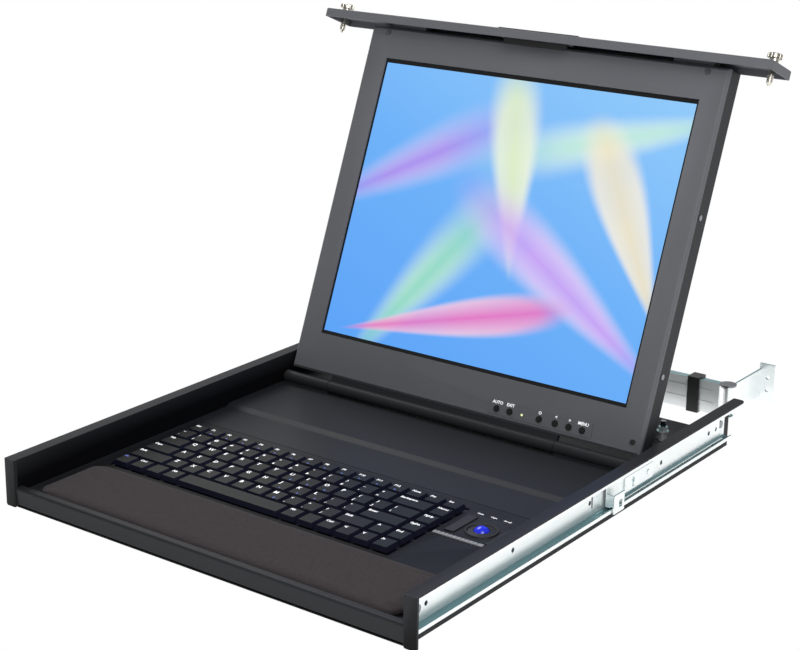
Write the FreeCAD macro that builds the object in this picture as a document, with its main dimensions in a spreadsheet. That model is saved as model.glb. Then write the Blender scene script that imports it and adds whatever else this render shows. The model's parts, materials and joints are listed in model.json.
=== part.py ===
"""Rack console drawer: a one-unit sliding tray with keyboard, trackball and a hinged LCD lid.

Frame: X to the right, Y towards the rear, Z up, in millimetres.  The origin is on the
surface the tray rests on, at the front face of the tray's end caps, midway between them.
The lid's pieces are drawn as they lie when the lid is shut, about the hinge axis, and are
then turned up to the open angle by their Placement.
"""
import FreeCAD, Part
import os
import Sketcher

Vector = FreeCAD.Vector
doc = FreeCAD.newDocument("console_drawer")
sheet = doc.addObject("Spreadsheet::Sheet", "Sizes")
parts = {}


class Size:
    """A number together with the expression that works it out from the sheet's cells."""

    def __init__(self, value, text=None):
        self.value = value
        self.text = repr(value) if text is None else text

    def join(self, other, sign, value):
        """Return the combined size of this one and another."""
        return Size(value, f"({self.text} {sign} {other.text})")

    def __add__(self, other):
        other = as_size(other)
        return self.join(other, "+", self.value + other.value)

    def __sub__(self, other):
        other = as_size(other)
        return self.join(other, "-", self.value - other.value)

    def __mul__(self, other):
        other = as_size(other)
        return self.join(other, "*", self.value * other.value)

    def __truediv__(self, other):
        other = as_size(other)
        return self.join(other, "/", self.value / other.value)

    def __radd__(self, other):
        return as_size(other) + self

    def __rsub__(self, other):
        return as_size(other) - self

    def __rmul__(self, other):
        return as_size(other) * self

    def __neg__(self):
        return Size(-self.value, f"(-1 * {self.text})")


def as_size(value):
    """Return value as a Size."""
    return value if isinstance(value, Size) else Size(value)


def cell(alias, value):
    """Put one driving dimension in the sheet and return it as a Size."""
    cell.row += 1
    sheet.set(f"A{cell.row}", alias.replace("_", " "))
    sheet.set(f"B{cell.row}", str(value))
    sheet.setAlias(f"B{cell.row}", alias)
    return Size(value, f"Sizes.{alias}")


cell.row = 0

# ---------------------------------------------------------------- driving dimensions
gap = cell("clear_gap", 0.3)              # between pieces that move past each other
fit = cell("running_fit", 0.05)           # radial clearance of a pin in its hole
sheet_wall = cell("sheet_wall", 1.2)      # folded sheet steel

tray_border = cell("tray_border", 21.5)   # lid's side to the tray's outer edge
rear_deck = cell("rear_deck", 140.5)      # hinge axis to the deck's rear wall
wall_beyond = cell("wall_beyond", 13.0)
flange_beyond = cell("flange_beyond", 24.0)
cap_width = cell("cap_width", 12.0)       # end cap and side flange
cap_depth = cell("cap_depth", 3.0)
cap_height = cell("cap_height", 43.2)
cap_round = cell("cap_round", 2.4)
flange_round = cell("flange_round", 5.0)

lip_height = cell("lip_height", 18.5)     # front rail between the caps
lip_depth = cell("lip_depth", 8.0)
lip_base = cell("lip_base", 3.0)
lip_slope = cell("lip_slope", 1.0)
lip_round = cell("lip_round", 2.4)

deck_height = cell("deck_height", 14.0)   # top of the keyboard plate
step_back = cell("step_back", 87.5)       # hinge axis to the step's foot
plateau_rise = cell("plateau_rise", 2.5)  # step up of the rear deck
plateau_bevel = cell("plateau_bevel", 6.0)
plate_rear = cell("plate_rear", 14.0)     # behind the keys
joint_line = cell("joint_line", 0.8)      # gap between keyboard plate and rear deck

palm_side = cell("palm_side", 14.0)       # side wall to the pad
palm_gap = cell("palm_gap", 12.5)         # pad to the keys
palm_depth = cell("palm_depth", 76.0)
palm_start = cell("palm_start", 9.0)
palm_height = cell("palm_height", 5.4)
palm_corner = cell("palm_corner", 14.0)
palm_round = cell("palm_round", 2.4)

key_pitch = cell("key_pitch", 19.0)       # across the keyboard
row_pitch = cell("row_pitch", 19.4)       # front to rear
top_row_depth = cell("top_row_depth", 16.5)
key_gap = cell("key_gap", 1.0)
key_height = cell("key_height", 3.9)
key_taper = cell("key_taper", 2.2)
key_back_taper = cell("key_back_taper", 1.0)
key_lift = cell("key_lift", 2.2)          # underside of a key above the keyboard's base
key_travel = cell("key_travel", 1.8)
stem_side = cell("stem_side", 5.0)
stem_reach = cell("stem_reach", 0.5)      # how far a stem stands in its socket
keys_side = cell("keys_side", 17.5)       # side wall to the keys
base_border = cell("base_border", 1.2)
base_sunk = cell("base_sunk", 1.6)        # top of the keyboard's base below the plate's top
base_thick = cell("base_thick", 5.0)

ball_radius = cell("ball_radius", 7.5)
ball_from_keys = cell("ball_from_keys", 34.0)
ball_back = cell("ball_back", 82.9)       # behind the front edge of the keys
ball_sunk = cell("ball_sunk", 3.0)        # ball centre below the plate's top
ring_radius = cell("ring_radius", 14.5)
ring_rise = cell("ring_rise", 1.1)
ring_bead = cell("ring_bead", 1.8)
cup_wall = cell("cup_wall", 2.4)
click_width = cell("click_width", 9.0)    # mouse buttons
click_depth = cell("click_depth", 36.0)
click_offset = cell("click_offset", 21.5)
click_rise = cell("click_rise", 0.9)
click_body = cell("click_body", 4.2)
click_shift = cell("click_shift", 2.2)    # left button is this much further back than the ball
lamp_radius = cell("lamp_radius", 1.1)
lamp_pitch = cell("lamp_pitch", 13.3)
lamp_shift = cell("lamp_shift", 6.8)
lamp_back = cell("lamp_back", 23.6)       # row of lamps behind the ball
board_thick = cell("board_thick", 1.6)
board_reach = cell("board_reach", 30.0)   # pointer board each side of the ball
board_front = cell("board_front", 22.0)
board_back = cell("board_back", 27.0)
board_post_reach = cell("board_post_reach", 28.0)
board_post_front = cell("board_post_front", 16.0)
rib_strip_length = cell("rib_strip_length", 48.0)
rib_strip_depth = cell("rib_strip_depth", 4.2)
rib_strip_front = cell("rib_strip_front", 26.0)
rib_strip_rise = cell("rib_strip_rise", 0.8)
rib_pitch = cell("rib_pitch", 4.0)

hinge_z = cell("hinge_z", 22.7)
open_angle = cell("open_angle", 111.8)
cover_gap = cell("cover_gap", 5.0)        # side wall to a hinge cover
cover_left = cell("cover_left", 54.0)     # length of the left cover, with its gap
cover_right = cell("cover_right", 87.0)
barrel_radius = cell("barrel_radius", 6.0)
pin_radius = cell("pin_radius", 3.0)
pin_length = cell("pin_length", 60.0)
pin_hold = cell("pin_hold", 22.0)              # length of a pin held in the lid's barrel
foot_depth = cell("foot_depth", 9.0)

lid_side = cell("lid_side", 23.5)         # screen opening to the lid's side
lid_head = cell("lid_head", 30.5)         # screen opening to the front panel's rim
panel_gap = cell("panel_gap", 0.4)        # rim to the end caps, lid shut
lid_start = cell("lid_start", 10.9)            # lid's edge from the hinge axis
lid_face = cell("lid_face", 2.4)               # screen side below the hinge axis, lid shut
bezel_depth = cell("bezel_depth", 5.4)
bezel_wall = cell("bezel_wall", 1.5)
bezel_rim = cell("bezel_rim", 3.0)
bezel_chamfer = cell("bezel_chamfer", 2.2)
opening_width = cell("opening_width", 342.0)
opening_height = cell("opening_height", 278.0)
opening_shift = cell("opening_shift", 1.5)
chin = cell("chin", 38.5)                      # lid's edge to the screen opening
glass_lap = cell("glass_lap", 2.0)
glass_thick = cell("glass_thick", 1.2)
module_lap = cell("module_lap", 8.0)
module_thick = cell("module_thick", 9.5)
lid_board_side = cell("lid_board_side", 110.0)

panel_width = cell("panel_width", 482.6)       # 19 inch front panel
panel_height = cell("panel_height", 43.6)
panel_rim = cell("panel_rim", 8.0)
panel_wall = cell("panel_wall", 2.0)
panel_corner = cell("panel_corner", 3.0)
grip_width = cell("grip_width", 86.0)
grip_shift = cell("grip_shift", 5.0)
grip_tall = cell("grip_tall", 7.6)
grip_stand = cell("grip_stand", 1.2)
grip_travel = cell("grip_travel", 3.0)
catch_width = cell("catch_width", 68.0)
catch_thick = cell("catch_thick", 3.0)
catch_reach = cell("catch_reach", 5.5)         # beyond the rim when the lid stands open

screw_inset = cell("screw_inset", 8.9)
stud_radius = cell("stud_radius", 2.6)
stud_reach = cell("stud_reach", 11.0)          # stud beyond the panel's rim
stud_hole = cell("stud_hole", 2.9)
stud_tip = cell("stud_tip", 3.0)
neck_radius = cell("neck_radius", 4.2)
neck_length = cell("neck_length", 5.0)
knob_radius = cell("knob_radius", 6.8)
knob_length = cell("knob_length", 4.5)
knob_flutes = cell("knob_flutes", 12)
flute_radius = cell("flute_radius", 0.9)

osd_left = cell("osd_left", 35.6)
osd_width = cell("osd_width", 109.6)
osd_start = cell("osd_start", 4.2)             # from the lid's hinge edge
osd_height = cell("osd_height", 13.8)
osd_thick = cell("osd_thick", 0.4)
osd_button = cell("osd_button", 2.9)           # radius
osd_button_rise = cell("osd_button_rise", 0.8)
osd_lamp = cell("osd_lamp", 37.0)
osd_travel = cell("osd_travel", 0.5)
osd_line = cell("osd_line", 9.5)               # row of buttons from the lid's hinge edge
bumper_radius = cell("bumper_radius", 2.2)
bumper_rise = cell("bumper_rise", 1.8)
bumper_inset = cell("bumper_inset", 8.0)
bumper_line = cell("bumper_line", 11.0)
lid_screw_radius = cell("lid_screw_radius", 2.6)
lid_screw_rise = cell("lid_screw_rise", 0.6)
side_screw_first = cell("side_screw_first", 72.0)
side_screw_pitch = cell("side_screw_pitch", 143.0)
side_screw_high = cell("side_screw_high", 10.4)   # above the lid's face
lid_screw_inset = cell("lid_screw_inset", 20.5)
lid_screw_end = cell("lid_screw_end", 5.5)

rail_height = cell("rail_height", 29.0)        # slide member fixed to the tray
rail_width = cell("rail_width", 9.3)
rail_wall = cell("rail_wall", 1.2)
rail_lip = cell("rail_lip", 3.2)
rail_round = cell("rail_round", 2.3)
rail_bottom = cell("rail_bottom", 12.6)
rail_hole = cell("rail_hole", 2.1)
rail_first_hole = cell("rail_first_hole", 25.3)
rail_hole_pitch = cell("rail_hole_pitch", 116.3)
rail_pair_back = cell("rail_pair_back", 34.6)  # deck's rear wall to the pair of holes
rail_beyond = cell("rail_beyond", 2.0)
inner_back = cell("inner_back", 14.0)
rail_pair_pitch = cell("rail_pair_pitch", 13.7)
rail_slot = cell("rail_slot", 260.5)
rail_slot_width = cell("rail_slot_width", 2.4)
rail_slot_height = cell("rail_slot_height", 11.0)
rail_screw_back = cell("rail_screw_back", 7.0)
rail_screw_front = cell("rail_screw_front", 13.8)
rail_screw_radius = cell("rail_screw_radius", 3.6)
rail_screw_head = cell("rail_screw_head", 1.3)

inner_start = cell("inner_start", 281.0)       # second slide member, nested in the first
inner_stand = cell("inner_stand", 1.7)         # between the two webs
inner_height = cell("inner_height", 21.0)
inner_width = cell("inner_width", 4.6)
inner_travel = cell("inner_travel", 264.0)
cage_length = cell("cage_length", 160.0)
cage_width = cell("cage_width", 3.2)
stop_beyond = cell("stop_beyond", 2.0)         # past the long member's open side
stop_length = cell("stop_length", 17.0)
stop_low = cell("stop_low", 11.5)
stop_high = cell("stop_high", 28.0)
stop_window = cell("stop_window", 5.0)
lever_start = cell("lever_start", 309.0)
lever_length = cell("lever_length", 48.0)
lever_height = cell("lever_height", 14.0)
lever_thick = cell("lever_thick", 1.2)
lever_rivet = cell("lever_rivet", 2.2)
keyhole_radius = cell("keyhole_radius", 2.5)

post_in = cell("post_in", 32.0)                # from the side wall
post_back = cell("post_back", 52.0)            # from the deck's rear wall
elbow_in = cell("elbow_in", 51.0)              # from the tray's outer edge
elbow_beyond = cell("elbow_beyond", 52.0)      # behind the deck's rear wall
wrist_in = cell("wrist_in", 32.0)
post_radius = cell("post_radius", 2.5)
post_height = cell("post_height", 19.5)
sleeve_radius = cell("sleeve_radius", 3.9)
arm_bottom = cell("arm_bottom", 17.2)
hub_height = cell("hub_height", 7.8)
front_bar_high = cell("front_bar_high", 40.0)
front_bar_neck = cell("front_bar_neck", 30.0)  # low part of the bar beside the post
nut_radius = cell("nut_radius", 5.4)
nut_height = cell("nut_height", 5.0)
bar_thick = cell("bar_thick", 2.0)
rear_bar_low = cell("rear_bar_low", 11.5)
rear_bar_high = cell("rear_bar_high", 43.5)
rear_bar_fold = cell("rear_bar_fold", 6.0)
bar_rib = cell("bar_rib", 0.6)
bar_rib_tall = cell("bar_rib_tall", 3.0)
lug_radius = cell("lug_radius", 6.5)
rivet_radius = cell("rivet_radius", 8.0)
rivet_thick = cell("rivet_thick", 1.4)
clip_width = cell("clip_width", 12.0)
clip_wall = cell("clip_wall", 1.6)
clip_depth = cell("clip_depth", 14.0)
clip_in = cell("clip_in", 35.0)                # from the wrist
clip_pitch = cell("clip_pitch", 120.0)
bracket_reach = cell("bracket_reach", 72.0)
bracket_tall = cell("bracket_tall", 3.5)       # flange past the bar's height
bracket_flange = cell("bracket_flange", 16.0)
bracket_hole = cell("bracket_hole", 2.3)
bracket_hole_pitch = cell("bracket_hole_pitch", 12.7)

port_height = cell("port_height", 7.5)
port_proud = cell("port_proud", 5.0)
port_width = cell("port_width", 30.0)
jack_width = cell("jack_width", 11.0)
standoff = cell("standoff", 4.0)
port_x = cell("port_x", -70.0)
jack_x = cell("jack_x", -130.0)
port_depth = cell("port_depth", 12.0)
board_gap = cell("board_gap", 8.0)             # rear wall to the main board
main_board_width = cell("main_board_width", 240.0)
main_board_depth = cell("main_board_depth", 120.0)

# ---------------------------------------------------------------- places worked out once
lid_width = opening_width + lid_side * 2
lid_length = chin + opening_height + lid_head
tray_width = lid_width + tray_border * 2
hinge_y = lid_start + lid_length - panel_gap
deck_end = hinge_y + rear_deck             # rear wall of the deck
wall_end = deck_end + wall_beyond          # rear end of the side walls
tray_depth = deck_end + flange_beyond      # front of the caps to the end of the side flanges
origin_y = tray_depth / 2
half_tray = tray_width / 2
screw_x = panel_width / 2 - screw_inset        # rack screw centres from the middle
wall_in = half_tray - cap_width                # inner face of the side walls
wall_out = wall_in + sheet_wall
plate_low = deck_height - sheet_wall           # underside of the keyboard plate
plateau_top = deck_height + plateau_rise
plateau_start = hinge_y - step_back
palm_width = (wall_in - palm_side) * 2
keys_left = -(wall_in - keys_side)
keys_width = key_pitch * 16
keys_depth = row_pitch * 5 + top_row_depth
keys_front = palm_start + palm_depth + palm_gap
plate_end = keys_front + keys_depth + plate_rear
ball_x = keys_left + keys_width + ball_from_keys
ball_y = keys_front + ball_back
barrel_reach = wall_in - cover_gap             # outer ends of the hinge covers
barrel_left = -(barrel_reach - cover_left)     # where the lid's own barrel starts
barrel_right = barrel_reach - cover_right
rail_end = deck_end + rail_beyond
rail_pair = deck_end - rail_pair_back
rail_screw_rear = deck_end - rail_screw_back
inner_end = deck_end - inner_back
rail_middle = rail_bottom + rail_height / 2
rail_x = wall_out
inner_x = rail_x + rail_wall + inner_stand
inner_bottom = rail_middle - inner_height / 2
stop_reach = rail_x + rail_width + stop_beyond
post_x = wall_in - post_in
post_y = deck_end - post_back
elbow_x = -(half_tray - elbow_in)
elbow_y = deck_end + elbow_beyond
wrist_x = half_tray - wrist_in
lug_thick = bar_thick
hub_low = rear_bar_low + lug_thick + gap       # hubs of the elbow and the wrist
hub_high = rear_bar_high - lug_thick - gap
base_top = deck_height - base_sunk
ball_z = deck_height - ball_sunk
board_top = sheet_wall + standoff + board_thick
lid_half = lid_width / 2
face_z = -lid_face                             # screen side, lid shut, from the axis
back_z = cap_height - hinge_z                  # back of the lid, lid shut, from the axis
edge_y = -lid_start                            # lid's hinge edge, from the axis
rim_y = edge_y - lid_length                    # front panel's rim edge, from the axis
panel_y = rim_y - panel_rim                    # front panel's outer face, from the axis
panel_low = -hinge_z
panel_middle = panel_low + panel_height / 2


# ---------------------------------------------------------------- ways to make a piece
def bind(obj, **sizes):
    """Bind properties of obj to sizes; a double underscore stands for a dot."""
    for name, size in sizes.items():
        obj.setExpression(name.replace("__", "."), as_size(size).text)
    return obj


def place(obj, x=0.0, y=0.0, z=0.0):
    """Bind where obj stands."""
    return bind(obj, Placement__Base__x=x, Placement__Base__y=y, Placement__Base__z=z)


def box(name, x, y, z):
    """A box between the two sizes given for each direction."""
    obj = doc.addObject("Part::Box", name)
    bind(obj, Length=x[1] - x[0], Width=y[1] - y[0], Height=z[1] - z[0])
    return place(obj, x[0], y[0], z[0])


TURN = {"z": FreeCAD.Rotation(), "y": FreeCAD.Rotation(Vector(1, 0, 0), -90),
        "x": FreeCAD.Rotation(Vector(0, 1, 0), 90)}


def rod(name, radius, length, start, along="z"):
    """A cylinder from start, pointing along the named axis."""
    obj = doc.addObject("Part::Cylinder", name)
    bind(obj, Radius=radius, Height=length)
    obj.Placement = FreeCAD.Placement(Vector(), TURN[along])
    return place(obj, *start)


def fuse(name, pieces):
    """One solid made of several that touch."""
    obj = doc.addObject("Part::MultiFuse", name)
    obj.Shapes = pieces
    obj.Refine = True
    return obj


def group(name, pieces):
    """Several separate solids in one node."""
    obj = doc.addObject("Part::Compound", name)
    obj.Links = pieces
    return obj


def cut(name, base, tools):
    """base with every tool taken away."""
    obj = doc.addObject("Part::Cut", name)
    obj.Base = base
    obj.Tool = tools[0] if len(tools) == 1 else group(name + "_tools", tools)
    obj.Refine = True
    return obj


def mirrored(name, source):
    """The same piece on the other side of the YZ plane."""
    obj = doc.addObject("Part::Mirroring", name)
    obj.Source = source
    obj.Normal = Vector(1, 0, 0)
    return obj


def draw(sketch, points):
    """Draw a closed outline through points, each tied to the sheet."""
    ends = [(as_size(a), as_size(b)) for a, b in points]
    flat = [Vector(a.value, b.value, 0) for a, b in ends]
    first = sketch.GeometryCount
    for number, here in enumerate(flat):
        sketch.addGeometry(Part.LineSegment(here, flat[(number + 1) % len(flat)]), False)
    for number, (across, up) in enumerate(ends):
        line = first + number
        following = first + (number + 1) % len(flat)
        sketch.addConstraint(Sketcher.Constraint("Coincident", line, 2, following, 1))
        for kind, size in (("DistanceX", across), ("DistanceY", up)):
            place_rule = Sketcher.Constraint(kind, -1, 1, line, 1, size.value)
            index = sketch.addConstraint(place_rule)
            sketch.setExpression(f"Constraints[{index}]", size.text)


def draw_circle(sketch, across, up, radius):
    """Draw a circle tied to the sheet."""
    across, up, radius = as_size(across), as_size(up), as_size(radius)
    centre = Vector(across.value, up.value, 0)
    index = sketch.addGeometry(Part.Circle(centre, Vector(0, 0, 1), radius.value), False)
    rules = (Sketcher.Constraint("DistanceX", -1, 1, index, 3, across.value),
             Sketcher.Constraint("DistanceY", -1, 1, index, 3, up.value),
             Sketcher.Constraint("Radius", index, radius.value))
    for rule, size in zip(rules, (across, up, radius)):
        number = sketch.addConstraint(rule)
        sketch.setExpression(f"Constraints[{number}]", size.text)


def new_body(name):
    """An empty PartDesign body."""
    return doc.addObject("PartDesign::Body", name)


def sketch_in(body, role):
    """A sketch on one of the body's own origin planes."""
    plane = next(item for item in body.Origin.OriginFeatures if item.Role == role)
    sketch = body.newObject("Sketcher::SketchObject", body.Name + "_outline")
    sketch.AttachmentSupport = [(plane, "")]
    sketch.MapMode = "FlatFace"
    return sketch


def pad(body, role, outlines, length, backwards=False):
    """Pad outlines drawn on an origin plane; the first is the outer one."""
    sketch = sketch_in(body, role)
    for points in outlines:
        draw(sketch, points)
    feature = body.newObject("PartDesign::Pad", body.Name + "_pad")
    feature.Profile = sketch
    feature.Reversed = backwards
    bind(feature, Length=length)
    return feature


def pocket(body, role, outlines, length, backwards=False, circles=()):
    """Take outlines and circles, drawn on an origin plane, out of the body."""
    doc.recompute()
    before = body.Tip.Shape.Volume
    sketch = sketch_in(body, role)
    for points in outlines:
        draw(sketch, points)
    for across, up, radius in circles:
        draw_circle(sketch, across, up, radius)
    feature = body.newObject("PartDesign::Pocket", body.Name + "_pocket")
    feature.Profile = sketch
    feature.Reversed = backwards
    bind(feature, Length=length)
    doc.recompute()
    if feature.Shape.Volume > before - 0.01:
        raise ValueError(f"{body.Name}: a pocket cuts nothing")
    return feature


def dress(body, kind, size, pick):
    """Fillet or chamfer the edges that pick chooses."""
    doc.recompute()
    tip = body.Tip
    names = [f"Edge{n + 1}" for n, edge in enumerate(tip.Shape.Edges) if pick(edge)]
    feature = body.newObject(f"PartDesign::{kind}", f"{body.Name}_{kind.lower()}")
    feature.Base = (tip, names)
    bind(feature, **{"Radius" if kind == "Fillet" else "Size": size})
    return feature


def runs_along(edge, axis):
    """Whether a straight edge runs along x, y or z."""
    first, last = edge.Vertexes[0].Point, edge.Vertexes[-1].Point
    step = last - first
    return edge.Curve.TypeId == "Part::GeomLine" and abs(getattr(step, axis)) > 0.999 * step.Length > 0


def node(name, obj, lid=False):
    """Keep obj as the node of that name, turned up with the lid if it belongs to it."""
    held = group(name + "_node", [obj])
    held.Label = name
    place(held, 0.0, -origin_y, 0.0)
    if lid:
        held.Placement = FreeCAD.Placement(Vector(), FreeCAD.Rotation(Vector(-1, 0, 0), open_angle.value))
        bind(held, Placement__Rotation__Angle=open_angle)
        place(held, 0.0, hinge_y - origin_y, hinge_z)
    parts[name] = held
    return obj


# ---------------------------------------------------------------- tray
def make_tray():
    """Folded tray: floor, side walls and flanges over the slides."""
    body = new_body("tray")
    low = cap_height - sheet_wall
    outline = [(-half_tray, cap_height), (-half_tray, low), (-wall_out, low), (-wall_out, 0.0),
               (wall_out, 0.0), (wall_out, low), (half_tray, low), (half_tray, cap_height),
               (wall_in, cap_height), (wall_in, sheet_wall), (-wall_in, sheet_wall),
               (-wall_in, cap_height)]
    pad(body, "XZ_Plane", [outline], tray_depth - cap_depth, backwards=True)
    # The floor stops at the deck's rear wall, the side walls a little further back.
    floor_end = deck_end - cap_depth
    pocket(body, "XY_Plane", [rectangle(-wall_in, wall_in, floor_end, tray_depth)], sheet_wall,
           backwards=True)
    walls = [rectangle(side * wall_in - sheet_wall * 0.5 + side * sheet_wall * 0.5,
                       side * wall_in + sheet_wall * 0.5 + side * sheet_wall * 0.5,
                       wall_end - cap_depth, tray_depth) for side in (-1, 1)]
    pocket(body, "XY_Plane", walls, low, backwards=True)
    end = tray_depth.value - cap_depth.value
    dress(body, "Fillet", flange_round, lambda edge: runs_along(edge, "z")
          and abs(edge.CenterOfMass.y - end) < 0.1
          and abs(abs(edge.CenterOfMass.x) - half_tray.value) < 0.1)
    place(body, 0.0, cap_depth, 0.0)
    feet = [rod(f"board_post_{x_side}_{y_side}", 3.0, standoff,
                (x_side * (main_board_width / 2 - 8), deck_end - board_gap * 2 - (main_board_depth - board_gap * 2) * y_side,
                 sheet_wall)) for x_side in (-1, 1) for y_side in (0, 1)]
    node("tray_pan", fuse("tray_with_posts", [body] + feet))


def rectangle(left, right, low, high):
    """The four corners of a rectangle."""
    return [(left, low), (right, low), (right, high), (left, high)]


def make_caps():
    """End caps of the tray's side channels, rounded at the bottom."""
    body = new_body("cap")
    pad(body, "XZ_Plane", [rectangle(wall_in, half_tray, 0.0, cap_height)], cap_depth,
        backwards=True)
    dress(body, "Fillet", cap_round, lambda edge: runs_along(edge, "y") and edge.CenterOfMass.z < 0.1)
    dress(body, "Fillet", cap_depth / 3, lambda edge: runs_along(edge, "z")
          and edge.CenterOfMass.y < 0.1)
    node("front_caps", group("caps", [body, mirrored("cap_left", body)]))


def make_lip():
    """Low front rail between the caps, its face leaning back to a rounded top."""
    body = new_body("lip")
    outline = [(lip_slope * 2, lip_base), (lip_slope, lip_height), (lip_depth, lip_height),
               (lip_depth, sheet_wall), (lip_depth - 3, sheet_wall), (lip_depth - 3, lip_base)]
    pad(body, "YZ_Plane", [outline], wall_in * 2)
    dress(body, "Fillet", lip_round, lambda edge: runs_along(edge, "x")
          and edge.CenterOfMass.y < lip_slope.value + 0.1 and edge.CenterOfMass.z > lip_base.value + 1)
    place(body, -wall_in, 0.0, 0.0)
    node("front_lip", body)


def make_deck():
    """Rear deck: a folded cover with a bevelled step, side legs and the rear wall."""
    start = plate_end + joint_line
    top, low = deck_height, deck_height - sheet_wall
    step = plateau_start + plateau_bevel
    body = new_body("deck")
    outline = [(start, top), (plateau_start, top), (step, plateau_top), (deck_end, plateau_top),
               (deck_end, sheet_wall), (deck_end - sheet_wall, sheet_wall),
               (deck_end - sheet_wall, plateau_top - sheet_wall), (step, plateau_top - sheet_wall),
               (plateau_start, low), (start, low)]
    inset = wall_in - gap
    pad(body, "YZ_Plane", [outline], inset * 2)
    place(body, -inset, 0.0, 0.0)
    legs = [box(f"deck_leg_{name}", (left, left + sheet_wall), (start, deck_end),
                (sheet_wall, low)) for name, left in (("a", -inset), ("b", inset - sheet_wall))]
    ports = [box(f"{name}_hole", (x - width / 2, x + width / 2), (deck_end - 2, deck_end + 1),
                 (board_top, board_top + port_height)) for name, x, width in socket_places()]
    node("deck_cover", cut("deck_cut", fuse("deck_fused", [body] + legs), ports))


def key_rows():
    """Rows of keys from rear to front: name, row number, widths in key pitches."""
    return [("keys_function", 5, [1.0] * 16),
            ("keys_number", 4, [1.0] * 13 + [2.0, 1.0]),
            ("keys_upper", 3, [1.5] + [1.0] * 12 + [1.5, 1.0]),
            ("keys_home", 2, [1.75] + [1.0] * 11 + [2.25, 1.0]),
            ("keys_lower", 1, [2.25] + [1.0] * 10 + [1.75, 1.0, 1.0]),
            ("keys_bottom", 0, [1.0] * 4 + [-6.0] + [1.0] * 6),
            ("space_bar", 0, [-4.0, 6.0, -6.0])]


def key_places():
    """Yield node name, left, right, front and rear of every key, negative widths left out."""
    gap_now = key_gap.value
    for name, row, widths in key_rows():
        left = keys_left.value
        front = keys_front.value + row * row_pitch.value
        depth = top_row_depth.value if row == 5 else row_pitch.value
        for width in widths:
            right = left + abs(width) * key_pitch.value
            if width > 0:
                yield name, left + gap_now / 2, right - gap_now / 2, front, front + depth - gap_now
            left = right


def make_keys():
    """Keys with sloping sides and a stem each, and the base with a socket for each stem."""
    solids = {}
    sockets = []
    low = base_top.value + key_lift.value
    top = low + key_height.value
    side, taper, back = stem_side.value, key_taper.value, key_back_taper.value
    for name, left, right, front, rear in key_places():
        cap = Part.makeWedge(left, low, front, front, left, right, top, rear, front, right)
        corners = [Vector(x, y, low) for x, y in ((left, front), (right, front), (right, rear), (left, rear))]
        tops = [Vector(left + taper, front + taper, top), Vector(right - taper, front + taper, top),
                Vector(right - taper, rear - back, top), Vector(left + taper, rear - back, top)]
        cap = Part.makeLoft([Part.makePolygon(ring + ring[:1]) for ring in (corners, tops)], True, True)
        x, y = (left + right) / 2, (front + rear) / 2
        stem_low = base_top.value - stem_reach.value
        stem = Part.makeBox(side, side, low - stem_low + 0.5, Vector(x - side / 2, y - side / 2, stem_low))
        solids.setdefault(name, []).append(cap.fuse(stem).removeSplitter())
        room = side + 2 * gap.value
        depth = stem_reach.value + key_travel.value + gap.value
        sockets.append(Part.makeBox(room, room, depth + 1, Vector(x - room / 2, y - room / 2,
                                                                  base_top.value - depth)))
    for name, pieces in solids.items():
        row = doc.addObject("Part::Feature", name)
        row.Shape = Part.makeCompound(pieces)
        node(name, row)
    holder = doc.addObject("Part::Feature", "sockets")
    holder.Shape = Part.makeCompound(sockets)
    width, depth = keys_width, keys_depth
    block = box("base_block", (keys_left - base_border, keys_left + width + base_border),
                (keys_front - base_border, keys_front + depth + base_border),
                (base_top - base_thick, base_top))
    runners = [box(f"base_runner_{n}", (keys_left + 2, keys_left + width - 2),
                   (keys_front + 6 + n * (depth - 20), keys_front + 14 + n * (depth - 20)),
                   (sheet_wall, base_top - base_thick)) for n in (0, 1)]
    node("keyboard_base", fuse("base_fused", [cut("base_cut", block, [holder])] + runners))


def make_keyboard_plate():
    """Plate round the keys and the trackball, on two side legs."""
    inset = wall_in - gap
    plate = box("plate", (-inset, inset), (lip_depth, plate_end), (plate_low, deck_height))
    legs = [box(f"plate_leg_{name}", (left, left + sheet_wall), (lip_depth, plate_end),
                (sheet_wall, plate_low)) for name, left in (("a", -inset), ("b", inset - sheet_wall))]
    width, depth = keys_width, keys_depth
    wide = base_border + gap
    span = (plate_low - 1, deck_height + 1)
    tools = [box("key_opening", (keys_left - wide, keys_left + width + wide),
                 (keys_front - wide, keys_front + depth + wide), span),
             rod("ring_hole", ring_radius - ring_bead, 4.0, (ball_x, ball_y, plate_low - 1))]
    for name, centre, back in click_places():
        tools.append(box(name + "_hole", (centre - click_width / 2 - gap, centre + click_width / 2 + gap),
                         (back - click_depth / 2 - gap, back + click_depth / 2 + gap), span))
    for n in (-1, 0, 1):
        tools.append(rod(f"lamp_hole_{n + 1}", lamp_radius + 0.1, 4.0,
                         (ball_x - lamp_shift + n * lamp_pitch, ball_y + lamp_back, plate_low - 1)))
    node("keyboard_plate", cut("plate_cut", fuse("plate_fused", [plate] + legs), tools))


def click_places():
    """Name, centre and middle of the two mouse buttons."""
    return (("mouse_button_left", ball_x - click_offset, ball_y + click_shift),
            ("mouse_button_right", ball_x + click_offset, ball_y - click_shift))


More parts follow.
